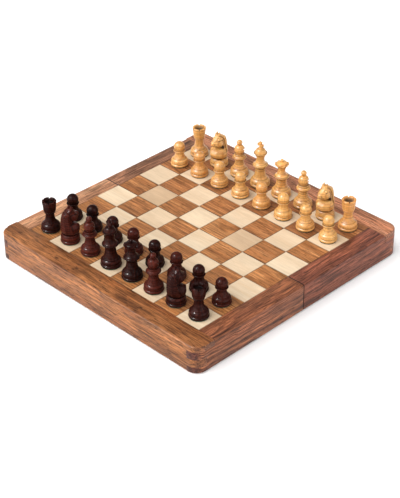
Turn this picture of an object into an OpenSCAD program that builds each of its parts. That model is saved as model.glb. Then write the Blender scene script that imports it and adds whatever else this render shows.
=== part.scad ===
// Folding wooden chess box, lying open as a board with its 32 men in their starting places.
// Two shallow half boxes stand rims down. Each carries half of the board on its top, and both
// turn on two small butt hinges under the seam, until their rims meet and they are one box.
//
// Frame: +X along the seam, with the a-file at +X. +Y from the dark side, which is the front
// half, to the light side. +Z up. The origin is under the middle of the board, at the lowest
// point of the hinge knuckles. Millimetres.

/* [Board] */
// Side of one playing square
square = 32; // [28:0.5:40]
// Width of the wooden border beside the squares, along the left and right sides
side_border = 22; // [20:0.5:32]
// Width of the wooden border along the two ends
end_border = 25; // [20:0.5:32]
// Depth of one half box, from its rim to the playing surface
half_depth = 31; // [29:0.5:40]
// Radius of the four outer corners, seen from above
corner_r = 12; // [4:0.5:13]
// Radius of the eased top edges
edge_r = 2; // [0.5:0.25:3]
// Gap between the two halves at the seam, when the board lies open
seam_gap = 0.6; // [0.2:0.1:1.2]

/* [Frame] */
// Thickness of the end rails and side rails
rail_t = 14; // [13:0.5:17]
// Thickness of the rail that carries the hinges, under the seam
hinge_rail_t = 10; // [9:0.5:13]
// Length of the hinge rail's tenons, which end inside the side rails
tenon_len = 6; // [4:0.5:9]
// Height of the top finger and of the bottom finger of each corner joint
outer_finger = 6.5; // [6:0.25:8]
// Width of the ledge that the playing panel rests on
ledge_w = 4; // [2:0.5:8]

/* [Playing panel] */
// Thickness of the wooden squares
square_t = 1.2; // [0.6:0.1:1.6]
// Thickness of the steel sheet that holds the magnetic men
steel_t = 0.4; // [0.3:0.1:0.8]
// Thickness of the plywood panel
ply_t = 2.4; // [1.5:0.1:2.6]
// Width of the glue line between two squares
glue_line = 0.1; // [0.05:0.05:0.3]
// Gap between the panel and the frame round it
panel_fit = 0.1; // [0.05:0.05:0.3]

/* [Storage tray] */
// Width of one trough, which holds men lying on their sides
trough_w = 26; // [24:0.5:28]
// Depth of a trough
trough_depth = 22.6; // [20:0.2:23]
// Thickness of the tray's walls at the two ends of the troughs
trough_end = 5; // [3:0.5:10]
// Radius of the trough's corners, seen from above
trough_r = 5; // [2:0.5:8]
// Distance of the tray's face behind the rim
tray_recess = 0.4; // [0.2:0.1:1]
// Gap between the tray and the rails
tray_fit = 0.2; // [0.1:0.1:0.5]

/* [Hinges] */
// Distance of each hinge from the middle of the seam
hinge_x = 100; // [60:1:110]
// Length of a hinge along the seam
hinge_len = 24; // [18:1:36]
// Width of one hinge leaf
leaf_w = 8; // [7:0.25:8.5]
// Thickness of a hinge leaf
leaf_t = 0.9; // [0.6:0.1:1.1]
// Gap between a hinge leaf and its recess in the rim
leaf_fit = 0.2; // [0.1:0.05:0.4]
// Radius of the hinge knuckle
knuckle_r = 1.5; // [1.3:0.1:1.9]
// Radius of the hinge pin
pin_r = 0.7; // [0.5:0.05:0.8]
// Radial play of the pin in its knuckles
pin_play = 0.05; // [0.02:0.01:0.1]
// Gap between two knuckles along the pin
knuckle_gap = 0.2; // [0.1:0.05:0.4]
// Gap between the rims when the box is shut
shut_gap = 0.3; // [0.1:0.05:0.6]
// Gap round a knuckle, in the wood and beside the other leaf
knuckle_room = 0.35; // [0.3:0.05:0.6]
// Shank radius of a hinge screw
screw_r = 0.8; // [0.6:0.1:1]
// Head radius of a hinge screw
screw_head_r = 1.7; // [1.4:0.1:1.9]
// Length of a hinge screw
screw_len = 7; // [5:0.5:9]
// Gap round a screw in its hole
screw_fit = 0.05; // [0.02:0.01:0.1]

/* [Rim magnets] */
// Radius of the magnets that hold the box shut
rim_magnet_r = 3; // [2:0.5:4]
// Thickness of these magnets
rim_magnet_t = 3; // [2:0.5:5]
// Distance of these magnets from the middle of the end rail
rim_magnet_x = 110; // [60:1:120]
// Gap round a magnet in its pocket, in the rims and in the men
magnet_fit = 0.05; // [0.02:0.01:0.1]

/* [Men] */
// Height of a king, to the top of the cross
king_h = 54.5; // [52:0.5:60]
// Height of a queen
queen_h = 46; // [44:0.5:51]
// Height of a bishop
bishop_h = 44.5; // [42:0.5:49]
// Height of a knight, to the tips of the ears
knight_h = 43; // [40:0.5:47]
// Height of a rook
rook_h = 36; // [34:0.5:40]
// Height of a pawn
pawn_h = 30; // [28:0.5:34]
// Base radius of a king and a queen
royal_r = 11.2; // [10.6:0.1:11.2]
// Base radius of a bishop, knight and rook
officer_r = 10.6; // [10.2:0.1:11]
// Base radius of a pawn
pawn_r = 10.2; // [9.6:0.1:11]
// Thickness of the felt under a man
felt_t = 0.8; // [0.5:0.1:1.5]
// Distance of the felt's edge from the edge of the base
felt_inset = 0.8; // [0.5:0.1:1.5]
// Radius of the magnet in a man's base
man_magnet_r = 4.5; // [3:0.5:5]
// Thickness of the magnet in a man's base
man_magnet_t = 2.4; // [1.5:0.1:3]
// Thickness of the glue over and under the magnet
glue_t = 0.05; // [0.02:0.01:0.1]
// Width of the cross on a king
cross_w = 7.4; // [6:0.2:9]
// Thickness of the cross on a king
cross_t = 2.6; // [2:0.2:3.5]
// Radius of a pawn's head
pawn_head_r = 6.3; // [5.6:0.1:6.7]
// Radius of the rook's tower at its top
tower_r = 7.7; // [7:0.1:8.4]
// Thickness of the wall round the rook's tower
tower_wall = 2; // [1.2:0.1:2.4]
// Depth of the hollow in the rook's tower
tower_depth = 4; // [2:0.5:5]

/* [Hidden] */
$fn = 64;

// Lets a cut run past the face that it opens
past = 1;
// Squares along one side of the board
ranks = 8;
play_half = ranks / 2 * square;
half_w = play_half + side_border;
half_l = play_half + end_border;
// The pin's axis lies half the shut gap below the rims, so that the rims meet with that gap
rim_z = knuckle_r + shut_gap / 2;
pin_z = knuckle_r;
top_z = rim_z + half_depth;
seam_y = -seam_gap / 2;
hinge_rail_y = seam_y - hinge_rail_t;
stack_t = square_t + steel_t + ply_t;
panel_low = top_z - stack_t;
inner_finger = half_depth / 2 - outer_finger;
// Lower edge of each of the four finger levels, counted from the top, and the rim's plane
level_z = [
    top_z - outer_finger,
    top_z - outer_finger - inner_finger,
    rim_z + outer_finger,
    rim_z
];
level_h = [outer_finger, inner_finger, inner_finger, outer_finger];

frame_end = "#9a6336";
frame_side = "#84492f";
dark_wood = "#a0622f";
light_wood = "#ead7b2";
ply_wood = "#c9a878";
steel = "#9aa0a6";
brass = "#c9a24a";
flock = "#23402c";
boxwood = "#d8a05c";
rosewood = "#2c120d";
felt = "#2f3d2c";

// A block between two corners
module block(low, high) {
    translate(low) cube(high - low);
}

// The strip that rounding takes off an edge: the solid lies at negative x and y
module eased_strip() {
    difference() {
        translate([-edge_r, -edge_r]) square(edge_r + past);
        translate([-edge_r, -edge_r]) circle(edge_r);
    }
}

// Takes the sharp top edge off the front of the front half, between its rounded corners
module ease_front_edge() {
    straight = 2 * (half_w - corner_r);
    translate([-straight / 2, -half_l, top_z])
        rotate([90, 0, 90]) linear_extrude(straight) mirror([1, 0]) eased_strip();
    for (side = [-1, 1])
        translate([side * (half_w - corner_r), corner_r - half_l, top_z])
            rotate([0, 0, side > 0 ? -90 : 180])
                rotate_extrude(angle = 90) translate([corner_r, 0]) eased_strip();
}

// Takes the sharp top edge off the right side of the front half
module ease_right_edge() {
    translate([half_w, past, top_z])
        rotate([90, 0, 0]) linear_extrude(half_l - corner_r + past) eased_strip();
}

// The front half seen from above, with its two rounded outer corners
module front_plan() {
    translate([-half_w, corner_r - half_l]) square([2 * half_w, half_l - corner_r + seam_y]);
    translate([corner_r - half_w, -half_l]) square([2 * (half_w - corner_r), corner_r + past]);
    for (side = [-1, 1])
        translate([side * (half_w - corner_r), corner_r - half_l]) circle(corner_r);
}

module within_front_plan() {
    intersection() {
        translate([0, 0, rim_z]) linear_extrude(half_depth) front_plan();
        children();
    }
}

// Turns what is drawn for the front half into its twin on the rear half
module on_half(rear) {
    mirror([0, rear ? 1 : 0, 0]) children();
}

/* ---- Frame rails, shared by both halves ---- */

module end_rail_shape() {
    web_x = half_w - rail_t;
    difference() {
        within_front_plan() union() {
            block([-half_w, -half_l, level_z[0]], [half_w, -play_half, top_z]);
            block([-play_half, -play_half, level_z[0]], [play_half, ledge_w - play_half, panel_low]);
            block([-web_x, -half_l, rim_z], [web_x, rail_t - half_l, level_z[0]]);
            block([-half_w, -half_l, level_z[2]], [half_w, rail_t - half_l, level_z[1]]);
        }
        ease_front_edge();
        rim_magnet_places() cylinder(h = rim_magnet_t, r = rim_magnet_r + magnet_fit);
    }
}

module right_rail_shape() {
    web_x = half_w - rail_t;
    difference() {
        within_front_plan() union() {
            block([play_half, -play_half, level_z[0]], [half_w, seam_y, top_z]);
            block([play_half - ledge_w, ledge_w - play_half, level_z[0]],
                  [play_half, hinge_rail_y, panel_low]);
            block([web_x, rail_t - half_l, rim_z], [half_w, hinge_rail_y, level_z[0]]);
            block([web_x, hinge_rail_y, level_z[2]], [half_w, seam_y, level_z[1]]);
            block([web_x + tenon_len, hinge_rail_y, rim_z], [half_w, seam_y, level_z[0]]);
            for (level = [1, 3])
                block([web_x, -half_l, level_z[level]],
                      [half_w, rail_t - half_l, level_z[level] + level_h[level]]);
        }
        ease_right_edge();
    }
}

module hinge_rail_shape() {
    web_x = half_w - rail_t;
    difference() {
        union() {
            block([-play_half, hinge_rail_y, level_z[0]], [play_half, seam_y, panel_low]);
            block([-web_x, hinge_rail_y, rim_z], [web_x, seam_y, level_z[0]]);
            for (level = [1, 3])
                block([-web_x - tenon_len, hinge_rail_y, level_z[level]],
                      [web_x + tenon_len, seam_y, level_z[level] + level_h[level]]);
        }
        hinge_places() {
            recess = hinge_len / 2 + leaf_fit;
            block([-recess, seam_y - leaf_w - leaf_fit, rim_z - past],
                  [recess, past, rim_z + leaf_t]);
            block([-recess, -knuckle_r - knuckle_room, rim_z - past],
                  [recess, past, pin_z + knuckle_r + knuckle_room]);
            screw_places() cylinder(h = screw_len, r = screw_r + screw_fit);
        }
    }
}

/* ---- Playing panel ---- */

// One layer of the panel, between two heights
module panel_layer(low, high) {
    edge = play_half - panel_fit;
    block([-edge, -edge, low], [edge, seam_y, high]);
}

// The 16 squares of one colour on one half. Rank 0 is at the front edge of the board.
module squares(light, rear) {
    first = rear ? ranks / 2 : 0;
    cut = glue_line / 2;
    for (file = [0:ranks - 1], rank = [first:first + ranks / 2 - 1]) {
        if ((file + rank) % 2 == (light ? 1 : 0)) {
            x = file * square - play_half;
            y = rank * square - play_half;
            at_seam = y == 0 ? -seam_y : cut;
            to_seam = y + square == 0 ? -seam_y : cut;
            block([x + cut, y + at_seam, top_z - square_t],
                  [x + square - cut, y + square - to_seam, top_z]);
        }
    }
}

/* ---- Storage tray ---- */

tray_half_w = half_w - rail_t - tray_fit;
tray_front = rail_t - half_l + tray_fit;
tray_back = hinge_rail_y - tray_fit;
tray_low = rim_z + tray_recess;
trough_pitch = 2 * tray_half_w / ranks;

module trough_plan(width, length) {
    for (side = [-1, 1]) {
        translate([side * (width / 2 - trough_r), length / 2 - trough_r]) circle(trough_r);
        translate([side * (width / 2 - trough_r), trough_r - length / 2]) circle(trough_r);
    }
    square([width - 2 * trough_r, length], center = true);
    square([width, length - 2 * trough_r], center = true);
}

module tray_shape() {
    pad = play_half - ledge_w - tray_fit;
    length = tray_back - tray_front - 2 * trough_end;
    difference() {
        union() {
            block([-tray_half_w, tray_front, tray_low], [tray_half_w, tray_back, level_z[0]]);
            block([-pad, -pad, tray_low], [pad, tray_back, panel_low]);
        }
        for (trough = [0:ranks - 1])
            translate([(trough - (ranks - 1) / 2) * trough_pitch,
                       (tray_front + tray_back) / 2, tray_low - past])
                linear_extrude(trough_depth + past) trough_plan(trough_w, length);
    }
}

/* ---- Hinges ---- */

module hinge_places() {
    for (side = [-1, 1]) translate([side * hinge_x, 0, 0]) children();
}

// Three screws in a leaf, in a shallow triangle, at the leaf's lower face
module screw_places() {
    for (place = [-1, 0, 1])
        translate([place * (hinge_len / 2 - 2 * screw_head_r),
                   seam_y - leaf_w * (place == 0 ? 0.7 : 0.5), rim_z])
            children();
}

// Countersunk screw, pointing up
module screw(play = 0) {
    cylinder(h = screw_len, r = screw_r + play);
    cylinder(h = leaf_t, r1 = screw_head_r + play, r2 = screw_r + play);
}

// Stretches of the barrel along X that belong to one leaf: the outer two, or the middle one
function knuckle_spans(rear) =
    let (third = hinge_len / 3, cut = knuckle_gap / 2)
    rear ? [[-third / 2 + cut, third / 2 - cut]]
         : [[-hinge_len / 2, -third / 2 - cut], [third / 2 + cut, hinge_len / 2]];

module along_pin(from, to, radius) {
    translate([from, 0, pin_z]) rotate([0, 90, 0]) cylinder(h = to - from, r = radius);
}

// The leaf under the front half's rim. The rear leaf is its mirror image with the middle knuckle.
module leaf(rear) {
    difference() {
        union() {
            block([-hinge_len / 2, seam_y - leaf_w, rim_z],
                  [hinge_len / 2, -knuckle_r - knuckle_room, rim_z + leaf_t]);
            for (span = knuckle_spans(rear)) {
                along_pin(span[0], span[1], knuckle_r);
                block([span[0], -knuckle_r - knuckle_room - past, rim_z],
                      [span[1], 0, rim_z + leaf_t]);
            }
        }
        along_pin(-hinge_len, hinge_len, pin_r + pin_play);
        screw_places() screw(screw_fit);
    }
}

/* ---- Rim magnets ---- */

module rim_magnet_places() {
    for (side = [-1, 1])
        translate([side * rim_magnet_x, rail_t / 2 - half_l, rim_z]) children();
}

/* ---- Outlines of the turned men: [radius, height] points, from the foot up ---- */

// Oval sweep about a centre, between two angles
function oval(centre, radii, from, to, steps = 6) =
    [for (k = [0:steps]) let (a = from + (to - from) * k / steps)
        centre + [radii[0] * cos(a), radii[1] * sin(a)]];

function arc(centre, radius, from, to, steps = 6) =
    oval(centre, [radius, radius], from, to, steps);

// Curve from one point to another that is drawn towards a third
function bend(from, towards, to, steps = 6) =
    [for (k = [0:steps]) let (t = k / steps)
        (1 - t) * (1 - t) * from + 2 * t * (1 - t) * towards + t * t * to];

function bead(radius, z, size) = arc([radius - size, z], size, -90, 90, 5);

plinth_h = 3;
plinth_top = felt_t + plinth_h;
groove = 1.3;
groove_h = 0.6;
// The bell over the groove: its radii, how far it stands back, and the angles it runs between
bell = [3.4, 4];
bell_back = 0.4;
bell_low = -18;
bell_high = 55;
bell_slope = bell[1] / (bell[0] * tan(bell_high));
bell_start = plinth_top + groove_h;

// Height of the widest place and of the top of a bell that is that many times as tall
function bell_mid(tall) = bell_start - tall * bell[1] * sin(bell_low);
function bell_top(tall) = bell_mid(tall) + tall * bell[1] * sin(bell_high);

function bell_end(r) = [r - bell_back - bell[0] * (1 - cos(bell_high)), bell_top(1)];

// Rim, groove and bell
function foot(r, tall = 1) = concat(
    [[0, felt_t]],
    arc([r - plinth_h / 2, felt_t + plinth_h / 2], plinth_h / 2, -90, 90, 6),
    [[r - groove, plinth_top], [r - groove, bell_start]],
    oval([r - bell_back - bell[0], bell_mid(tall)], [bell[0], tall * bell[1]], bell_low, bell_high));

// Foot, and the hollow sweep from its bell up to an upright neck
function stem(r, neck_r, neck_z) =
    let (from = bell_end(r), leans = [neck_r, from[1] + (from[0] - neck_r) * bell_slope])
    concat(foot(r), bend(from, leans, [neck_r, neck_z], 7));

// Small ring, wide collar and the slope over it, as on the king, queen and bishop
function collar(r, z, neck_r, neck_z) = concat(
    bead(r * 0.8, z - collar_h * 0.95, collar_h * 0.38),
    bead(r, z, collar_h / 2),
    bend([r * 0.9, z + collar_h / 2], [neck_r + 0.8, z + collar_h * 1.2], [neck_r, neck_z], 4));

collar_h = 1.9;

module turned(outline) {
    difference() {
        rotate_extrude() polygon(outline);
        translate([0, 0, felt_t - past])
            cylinder(h = past + man_magnet_t + glue_t, r = man_magnet_r + magnet_fit);
    }
}

// Magnet and felt, which every man has in its base
module base_fittings(r) {
    color(steel) translate([0, 0, felt_t]) cylinder(h = man_magnet_t, r = man_magnet_r);
    color(felt) cylinder(h = felt_t - glue_t, r = r - felt_inset);
}

module pawn(wood) {
    neck_r = 4.8;
    head_z = pawn_h - pawn_head_r;
    collar_z = head_z - pawn_head_r * 0.72;
    collar_size = collar_h * 0.4;
    head_from = -36;
    color(wood) turned(concat(
        stem(pawn_r, neck_r, collar_z - collar_size),
        bead(pawn_head_r * 1.08, collar_z, collar_size),
        arc([0, head_z], pawn_head_r, head_from, 90, 13)));
    base_fittings(pawn_r);
}

module rook(wood) {
    neck_r = 4.8;
    // How far the ring lies under the top
    ring_down = 13.4;
    ring_z = rook_h - ring_down;
    ring_size = collar_h * 0.37;
    cup_r = tower_r - 1;
    notch_w = 1.6;
    notch_depth = 1.6;
    color(wood) difference() {
        turned(concat(
            stem(officer_r, neck_r, ring_z - 3.4),
            [[neck_r + 0.1, ring_z - ring_size]],
            bead(neck_r + 1.2, ring_z, ring_size),
            bend([neck_r + 0.5, ring_z + ring_size], [cup_r, ring_z + 0.9], [cup_r + 0.1, ring_z + 3], 5),
            [[tower_r, rook_h - 0.8], [tower_r, rook_h], [0, rook_h]]));
        translate([0, 0, rook_h - tower_depth])
            cylinder(h = tower_depth, r1 = neck_r - 0.4, r2 = tower_r - tower_wall);
        translate([0, 0, rook_h - past / 2])
            cylinder(h = past, r = tower_r - tower_wall);
        for (turn = [0:60:120])
            rotate([0, 0, turn + 15])
                translate([-tower_r - past, -notch_w / 2, rook_h - notch_depth])
                    cube([2 * (tower_r + past), notch_w, tower_depth]);
    }
    base_fittings(officer_r);
}

module bishop(wood) {
    neck_r = 4.9;
    ball_r = 3.2;
    // How far the collar, the ring and the mitre's widest place lie under the top
    collar_down = 21.2;
    ring_down = 17.8;
    mitre_down = 12.4;
    collar_z = bishop_h - collar_down;
    ring_z = bishop_h - ring_down;
    ring_size = collar_h * 0.4;
    mitre_z = bishop_h - mitre_down;
    // The ball starts at this angle, where the mitre ends
    ball_low = -62;
    ball_z = bishop_h - ball_r;
    // Half width of the mitre, how far it reaches under that place, and how far it leans upward
    mitre = [5.8, 5, 5.2];
    slit = [1.1, 38];
    color(wood) difference() {
        turned(concat(
            stem(officer_r, neck_r, collar_z - 3),
            collar(7.9, collar_z, neck_r - 0.3, ring_z - ring_size),
            bead(neck_r + 1.1, ring_z, ring_size),
            oval([0.4, mitre_z], [mitre[0] - 0.4, mitre[1]], -52, 0, 4),
            bend([mitre[0], mitre_z], [mitre[0], mitre_z + mitre[2]],
                 [ball_r * cos(ball_low), ball_z + ball_r * sin(ball_low) - 0.1]),
            arc([0, ball_z], ball_r, ball_low, 90, 9)));
        translate([0, 0, mitre_z + 3])
            rotate([0, slit[1], 90]) translate([0.8, -mitre[0] - past, -slit[0] / 2])
                cube([mitre[0] * 2, 2 * (mitre[0] + past), slit[0]]);
    }
    base_fittings(officer_r);
}

module queen(wood) {
    // Radius of the neck under the collar, and over it
    neck_r = 5.5;
    waist_r = 3.9;
    ball_r = 1.9;
    // How far the collar, the waist and the brim lie under the top
    collar_down = 21;
    waist_down = 14;
    brim_down = 6.2;
    collar_z = queen_h - collar_down;
    waist_z = queen_h - waist_down;
    brim_z = queen_h - brim_down;
    brim_r = 7.9;
    dome_r = brim_r - 1.5;
    notch_r = 1.5;
    color(wood) difference() {
        turned(concat(
            stem(royal_r, neck_r, collar_z - 3.2),
            collar(8.5, collar_z, waist_r, waist_z),
            bend([waist_r, waist_z], [waist_r + 0.4, brim_z - 2.4], [brim_r, brim_z]),
            [[brim_r, brim_z + 0.7], [dome_r, brim_z + 0.7]],
            bend([dome_r, brim_z + 0.7], [dome_r - 1, queen_h - 2.4 * ball_r],
                 [ball_r * 0.7, queen_h - 1.8 * ball_r], 5),
            arc([0, queen_h - ball_r], ball_r, -45, 90, 8)));
        for (turn = [0:45:315])
            rotate([0, 0, turn])
                translate([brim_r + 0.4, 0, brim_z + 1.5]) rotate([0, -60, 0])
                    cylinder(h = 4 * notch_r, r = notch_r, center = true);
    }
    base_fittings(royal_r);
}

module cross() {
    arm = cross_w / 2;
    waist = cross_w * 0.2;
    rotate([90, 0, 0]) linear_extrude(cross_t, center = true) {
        polygon([[-waist, -arm], [waist, -arm], [waist * 0.6, 0], [arm * 0.55, arm],
                 [-arm * 0.55, arm], [-waist * 0.6, 0]]);
        polygon([[-arm, -arm * 0.5], [0, -waist * 0.5], [arm, -arm * 0.5],
                 [arm, arm * 0.5], [0, waist * 0.5], [-arm, arm * 0.5]]);
    }
}

module king(wood) {
    // Radius of the neck under the collar, and over it
    neck_r = 5.6;
    waist_r = 4.3;
    // How far the collar, the waist and the brim lie under the top
    collar_down = 28.2;
    waist_down = 21;
    brim_down = 13.8;
    collar_z = king_h - collar_down;
    waist_z = king_h - waist_down;
    brim_z = king_h - brim_down;
    brim_r = 7.4;
    brim_h = 1.2;
    knob_z = king_h - cross_w + 0.5;
    color(wood) {
        turned(concat(
            stem(royal_r, neck_r, collar_z - 3.2),
            collar(8.7, collar_z, waist_r, waist_z),
            bend([waist_r, waist_z], [waist_r + 0.5, brim_z - 2.6], [brim_r, brim_z]),
            bead(brim_r + 0.1, brim_z + brim_h / 2, brim_h / 2),
            bend([brim_r - 1.1, brim_z + brim_h], [brim_r - 2, knob_z - 1.2],
                 [2, knob_z - 0.7], 5),
            [[2, knob_z], [0, knob_z]]));
        translate([0, 0, king_h - cross_w / 2]) cross();
    }
    base_fittings(royal_r);
}

/* ---- Knight ---- */

// Side view of the horse, from its chest over the muzzle and the ears to the mane
horse_side = [
    [7.4, 10.6], [9, 12], [10.8, 13.8], [11.2, 16], [10.4, 18.4], [8, 20.8], [4, 22.6],
    [0.4, 23.4], [-1.2, 24.6], [0, 25.8], [3.4, 26.2], [7.2, 26.2], [9.8, 26.8], [11.4, 28.4],
    [11.7, 30.6], [10.6, 32.6], [8.4, 34.2], [6.2, 36], [4.8, 38], [3.8, 39.8], [3, 43],
    [1.2, 40.8], [-1.8, 39.8], [-5.8, 37.8], [-8.6, 34.8], [-9.7, 31], [-9.9, 26], [-9.6, 19],
    [-8.9, 14], [-7.4, 10.6]
];
// Front view, half of it: [half width, height]
horse_front = [
    [7.4, 10.6], [9, 12.2], [10.1, 14.6], [10.1, 17.4], [9, 20.4], [7.4, 23.2], [6.3, 26.4],
    [5.8, 30], [5.2, 33.4], [4.5, 36.6], [3.8, 39.4], [2.8, 43], [1.7, 41.6], [0.5, 40]
];
// View from a corner, from the chest over the muzzle and the ears to the mane
horse_corner = [
    [7.4, 10.6], [9.2, 12.4], [10.5, 14.8], [10.4, 17.6], [8.9, 20.4], [6.6, 22.6], [5.2, 24.6],
    [8.2, 26.2], [9.8, 27.8], [9.9, 30], [8.9, 32.2], [7.2, 34.2], [5.6, 36.4], [4.6, 39],
    [4.2, 43], [1.6, 42], [-1.6, 40.2], [-4.8, 38.2], [-7.1, 35.6], [-8.2, 32], [-8.8, 28.6],
    [-9.2, 24], [-9.6, 18], [-9, 14], [-7.4, 10.6]
];
// Plan, half of it: [half width, distance in front of the axis]
horse_plan = [
    [3, -10.2], [6.8, -8], [9.4, -4.4], [10.3, 0], [9.8, 3.8], [8.2, 6.8], [5.4, 9.2],
    [3.4, 11], [2.4, 12.2]
];
horse_base = 10.6;
horse_ears = 43;
// How many times as tall the knight's bell is as the other men's
horse_bell = 1.3;

function both_sides(half) =
    concat(half, [for (k = [len(half) - 1:-1:0]) [-half[k][0], half[k][1]]]);

// Cuts the corners off a closed outline
function softened(points) =
    [for (k = [0:len(points) - 1], cut = [0.25, 0.75])
        points[k] * (1 - cut) + points[(k + 1) % len(points)] * cut];

module horse_head() {
    stretch = (knight_h - horse_base) / (horse_ears - horse_base);
    function raised(points) =
        [for (p = points) [p[0], horse_base + (p[1] - horse_base) * stretch]];
    intersection() {
        rotate([90, 0, 90])
            linear_extrude(4 * officer_r, center = true)
                polygon(softened(raised(horse_side)));
        rotate([90, 0, 0])
            linear_extrude(4 * officer_r, center = true)
                polygon(softened(raised(both_sides(horse_front))));
        linear_extrude(knight_h + past) polygon(softened(both_sides(horse_plan)));
        for (turn = [-45, 45])
            rotate([0, 0, turn]) rotate([90, 0, 90])
                linear_extrude(4 * officer_r, center = true)
                    polygon(softened(raised(horse_corner)));
    }
}

module knight(wood, facing) {
    throat = officer_r - 2.8;
    rotate([0, 0, facing]) color(wood) {
        turned(concat(
            foot(officer_r, horse_bell),
            [[throat, bell_top(horse_bell) + 0.4], [throat, horse_base + past], [0, horse_base + past]]));
        horse_head();
    }
    base_fittings(officer_r);
}

/* ---- Places of the men. The h-file is at the left, at -X. ---- */

files = ["h", "g", "f", "e", "d", "c", "b", "a"];
officers = ["rook", "knight", "bishop", "king", "queen", "bishop", "knight", "rook"];

module officer(kind, wood, facing) {
    if (kind == "rook") rook(wood);
    if (kind == "knight") knight(wood, facing);
    if (kind == "bishop") bishop(wood);
    if (kind == "queen") queen(wood);
    if (kind == "king") king(wood);
}

// Puts a man in the middle of a square, counted from the left and from the front
module on_square(file, rank) {
    translate([(file + 0.5) * square - play_half, (rank + 0.5) * square - play_half, top_z])
        children();
}

/* ---- Sub-parts of both halves ---- */

module end_rail(rear) { color(frame_end) on_half(rear) end_rail_shape(); }
module right_rail(rear) { color(frame_side) on_half(rear) right_rail_shape(); }
module left_rail(rear) { color(frame_side) on_half(rear) mirror([1, 0, 0]) right_rail_shape(); }
module hinge_rail(rear) { color(frame_end) on_half(rear) hinge_rail_shape(); }
module panel(rear) { color(ply_wood) on_half(rear) panel_layer(panel_low, panel_low + ply_t); }
module steel_sheet(rear) {
    color(steel) on_half(rear) panel_layer(panel_low + ply_t, top_z - square_t);
}
module light_squares(rear) { color(light_wood) squares(true, rear); }
module dark_squares(rear) { color(dark_wood) squares(false, rear); }
module tray(rear) { color(flock) on_half(rear) tray_shape(); }
module rim_magnets(rear) {
    color(steel) on_half(rear) rim_magnet_places() cylinder(h = rim_magnet_t, r = rim_magnet_r);
}
module hinge_leaves(rear) { color(brass) on_half(rear) hinge_places() leaf(rear); }
module hinge_screws(rear) { color(brass) on_half(rear) hinge_places() screw_places() screw(); }
module hinge_pins() {
    color(brass) hinge_places() along_pin(-hinge_len / 2, hinge_len / 2, pin_r);
}

hinge_pins();
for (rear = [false, true]) {
    half = rear ? "rear_" : "front_";
    end_rail(rear);
    left_rail(rear);
    right_rail(rear);
    hinge_rail(rear);
    panel(rear);
    steel_sheet(rear);
    light_squares(rear);
    dark_squares(rear);
    tray(rear);
    rim_magnets(rear);
    hinge_leaves(rear);
    hinge_screws(rear);
}
for (file = [0:ranks - 1]) {
    on_square(file, 0) officer(officers[file], rosewood, 0);
    on_square(file, 1) pawn(rosewood);
    on_square(file, ranks - 2) pawn(boxwood);
    on_square(file, ranks - 1) officer(officers[file], boxwood, 180);
}
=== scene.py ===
"""Looks of a folding wooden chess box, which lies open as a board with its 32 men.

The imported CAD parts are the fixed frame. Each class is one sub-assembly: its fields are sizes in
millimetres, the same as in the part's source, and its methods build the meshes and dress them.
"""

import logging
import math
from dataclasses import dataclass, field, replace
from enum import Enum
from typing import Callable, Optional, Sequence, Union

import bmesh
import bpy
import numpy as np
from mathutils import Matrix, Vector


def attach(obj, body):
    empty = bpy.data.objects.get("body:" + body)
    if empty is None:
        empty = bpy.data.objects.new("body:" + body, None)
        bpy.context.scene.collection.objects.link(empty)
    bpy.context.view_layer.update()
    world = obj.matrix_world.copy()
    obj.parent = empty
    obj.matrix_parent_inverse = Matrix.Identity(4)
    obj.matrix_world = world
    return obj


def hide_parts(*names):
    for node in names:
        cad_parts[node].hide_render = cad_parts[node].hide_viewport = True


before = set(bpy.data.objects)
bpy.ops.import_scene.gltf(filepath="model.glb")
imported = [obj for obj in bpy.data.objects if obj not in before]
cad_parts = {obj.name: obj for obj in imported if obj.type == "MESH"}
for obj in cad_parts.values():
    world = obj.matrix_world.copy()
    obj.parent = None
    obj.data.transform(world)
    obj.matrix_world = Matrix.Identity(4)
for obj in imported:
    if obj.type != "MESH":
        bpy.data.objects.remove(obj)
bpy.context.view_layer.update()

MM = 0.001
MERGE_DISTANCE = 2e-6
FLAT_ANGLE = 0.4
EASED_ANGLE = 50.0
Rgb = tuple[float, float, float]
Point2 = tuple[float, float]
Socket = bpy.types.NodeSocket
Feed = Union[Socket, float, Sequence[float]]
Finishes = dict[str, bpy.types.Material]
log = logging.getLogger("chess_box")


# ---- Meshes ----


def show(name: str, mesh: bpy.types.Mesh) -> bpy.types.Object:
    """Puts a mesh that is already in place into the scene, as an object at the origin."""
    mesh.name = name
    obj = bpy.data.objects.new(name, mesh)
    bpy.context.scene.collection.objects.link(obj)
    return obj


def discard(*objs: bpy.types.Object) -> None:
    """Removes helper objects and their meshes."""
    for obj in objs:
        mesh = obj.data
        bpy.data.objects.remove(obj)
        bpy.data.meshes.remove(mesh)


def modify(obj: bpy.types.Object, kind: str, **settings: object) -> None:
    """Adds a modifier of that type, with its settings by attribute name."""
    modifier = obj.modifiers.new(kind.lower(), kind)
    for key, value in settings.items():
        setattr(modifier, key, value)


def settle(obj: bpy.types.Object) -> bpy.types.Object:
    """Turns an object's modifiers into a plain mesh and takes them off."""
    graph = bpy.context.evaluated_depsgraph_get()
    mesh = bpy.data.meshes.new_from_object(
        obj.evaluated_get(graph), preserve_all_data_layers=True, depsgraph=graph
    )
    old, name = obj.data, obj.data.name
    obj.modifiers.clear()
    obj.data = mesh
    bpy.data.meshes.remove(old)
    mesh.name = name
    return obj


def smooth(mesh: bpy.types.Mesh, crease: float = 38.0) -> None:
    """Shades a mesh smooth, except over edges sharper than crease degrees."""
    mesh.shade_smooth()
    mesh.set_sharp_from_angle(angle=math.radians(crease))


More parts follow.
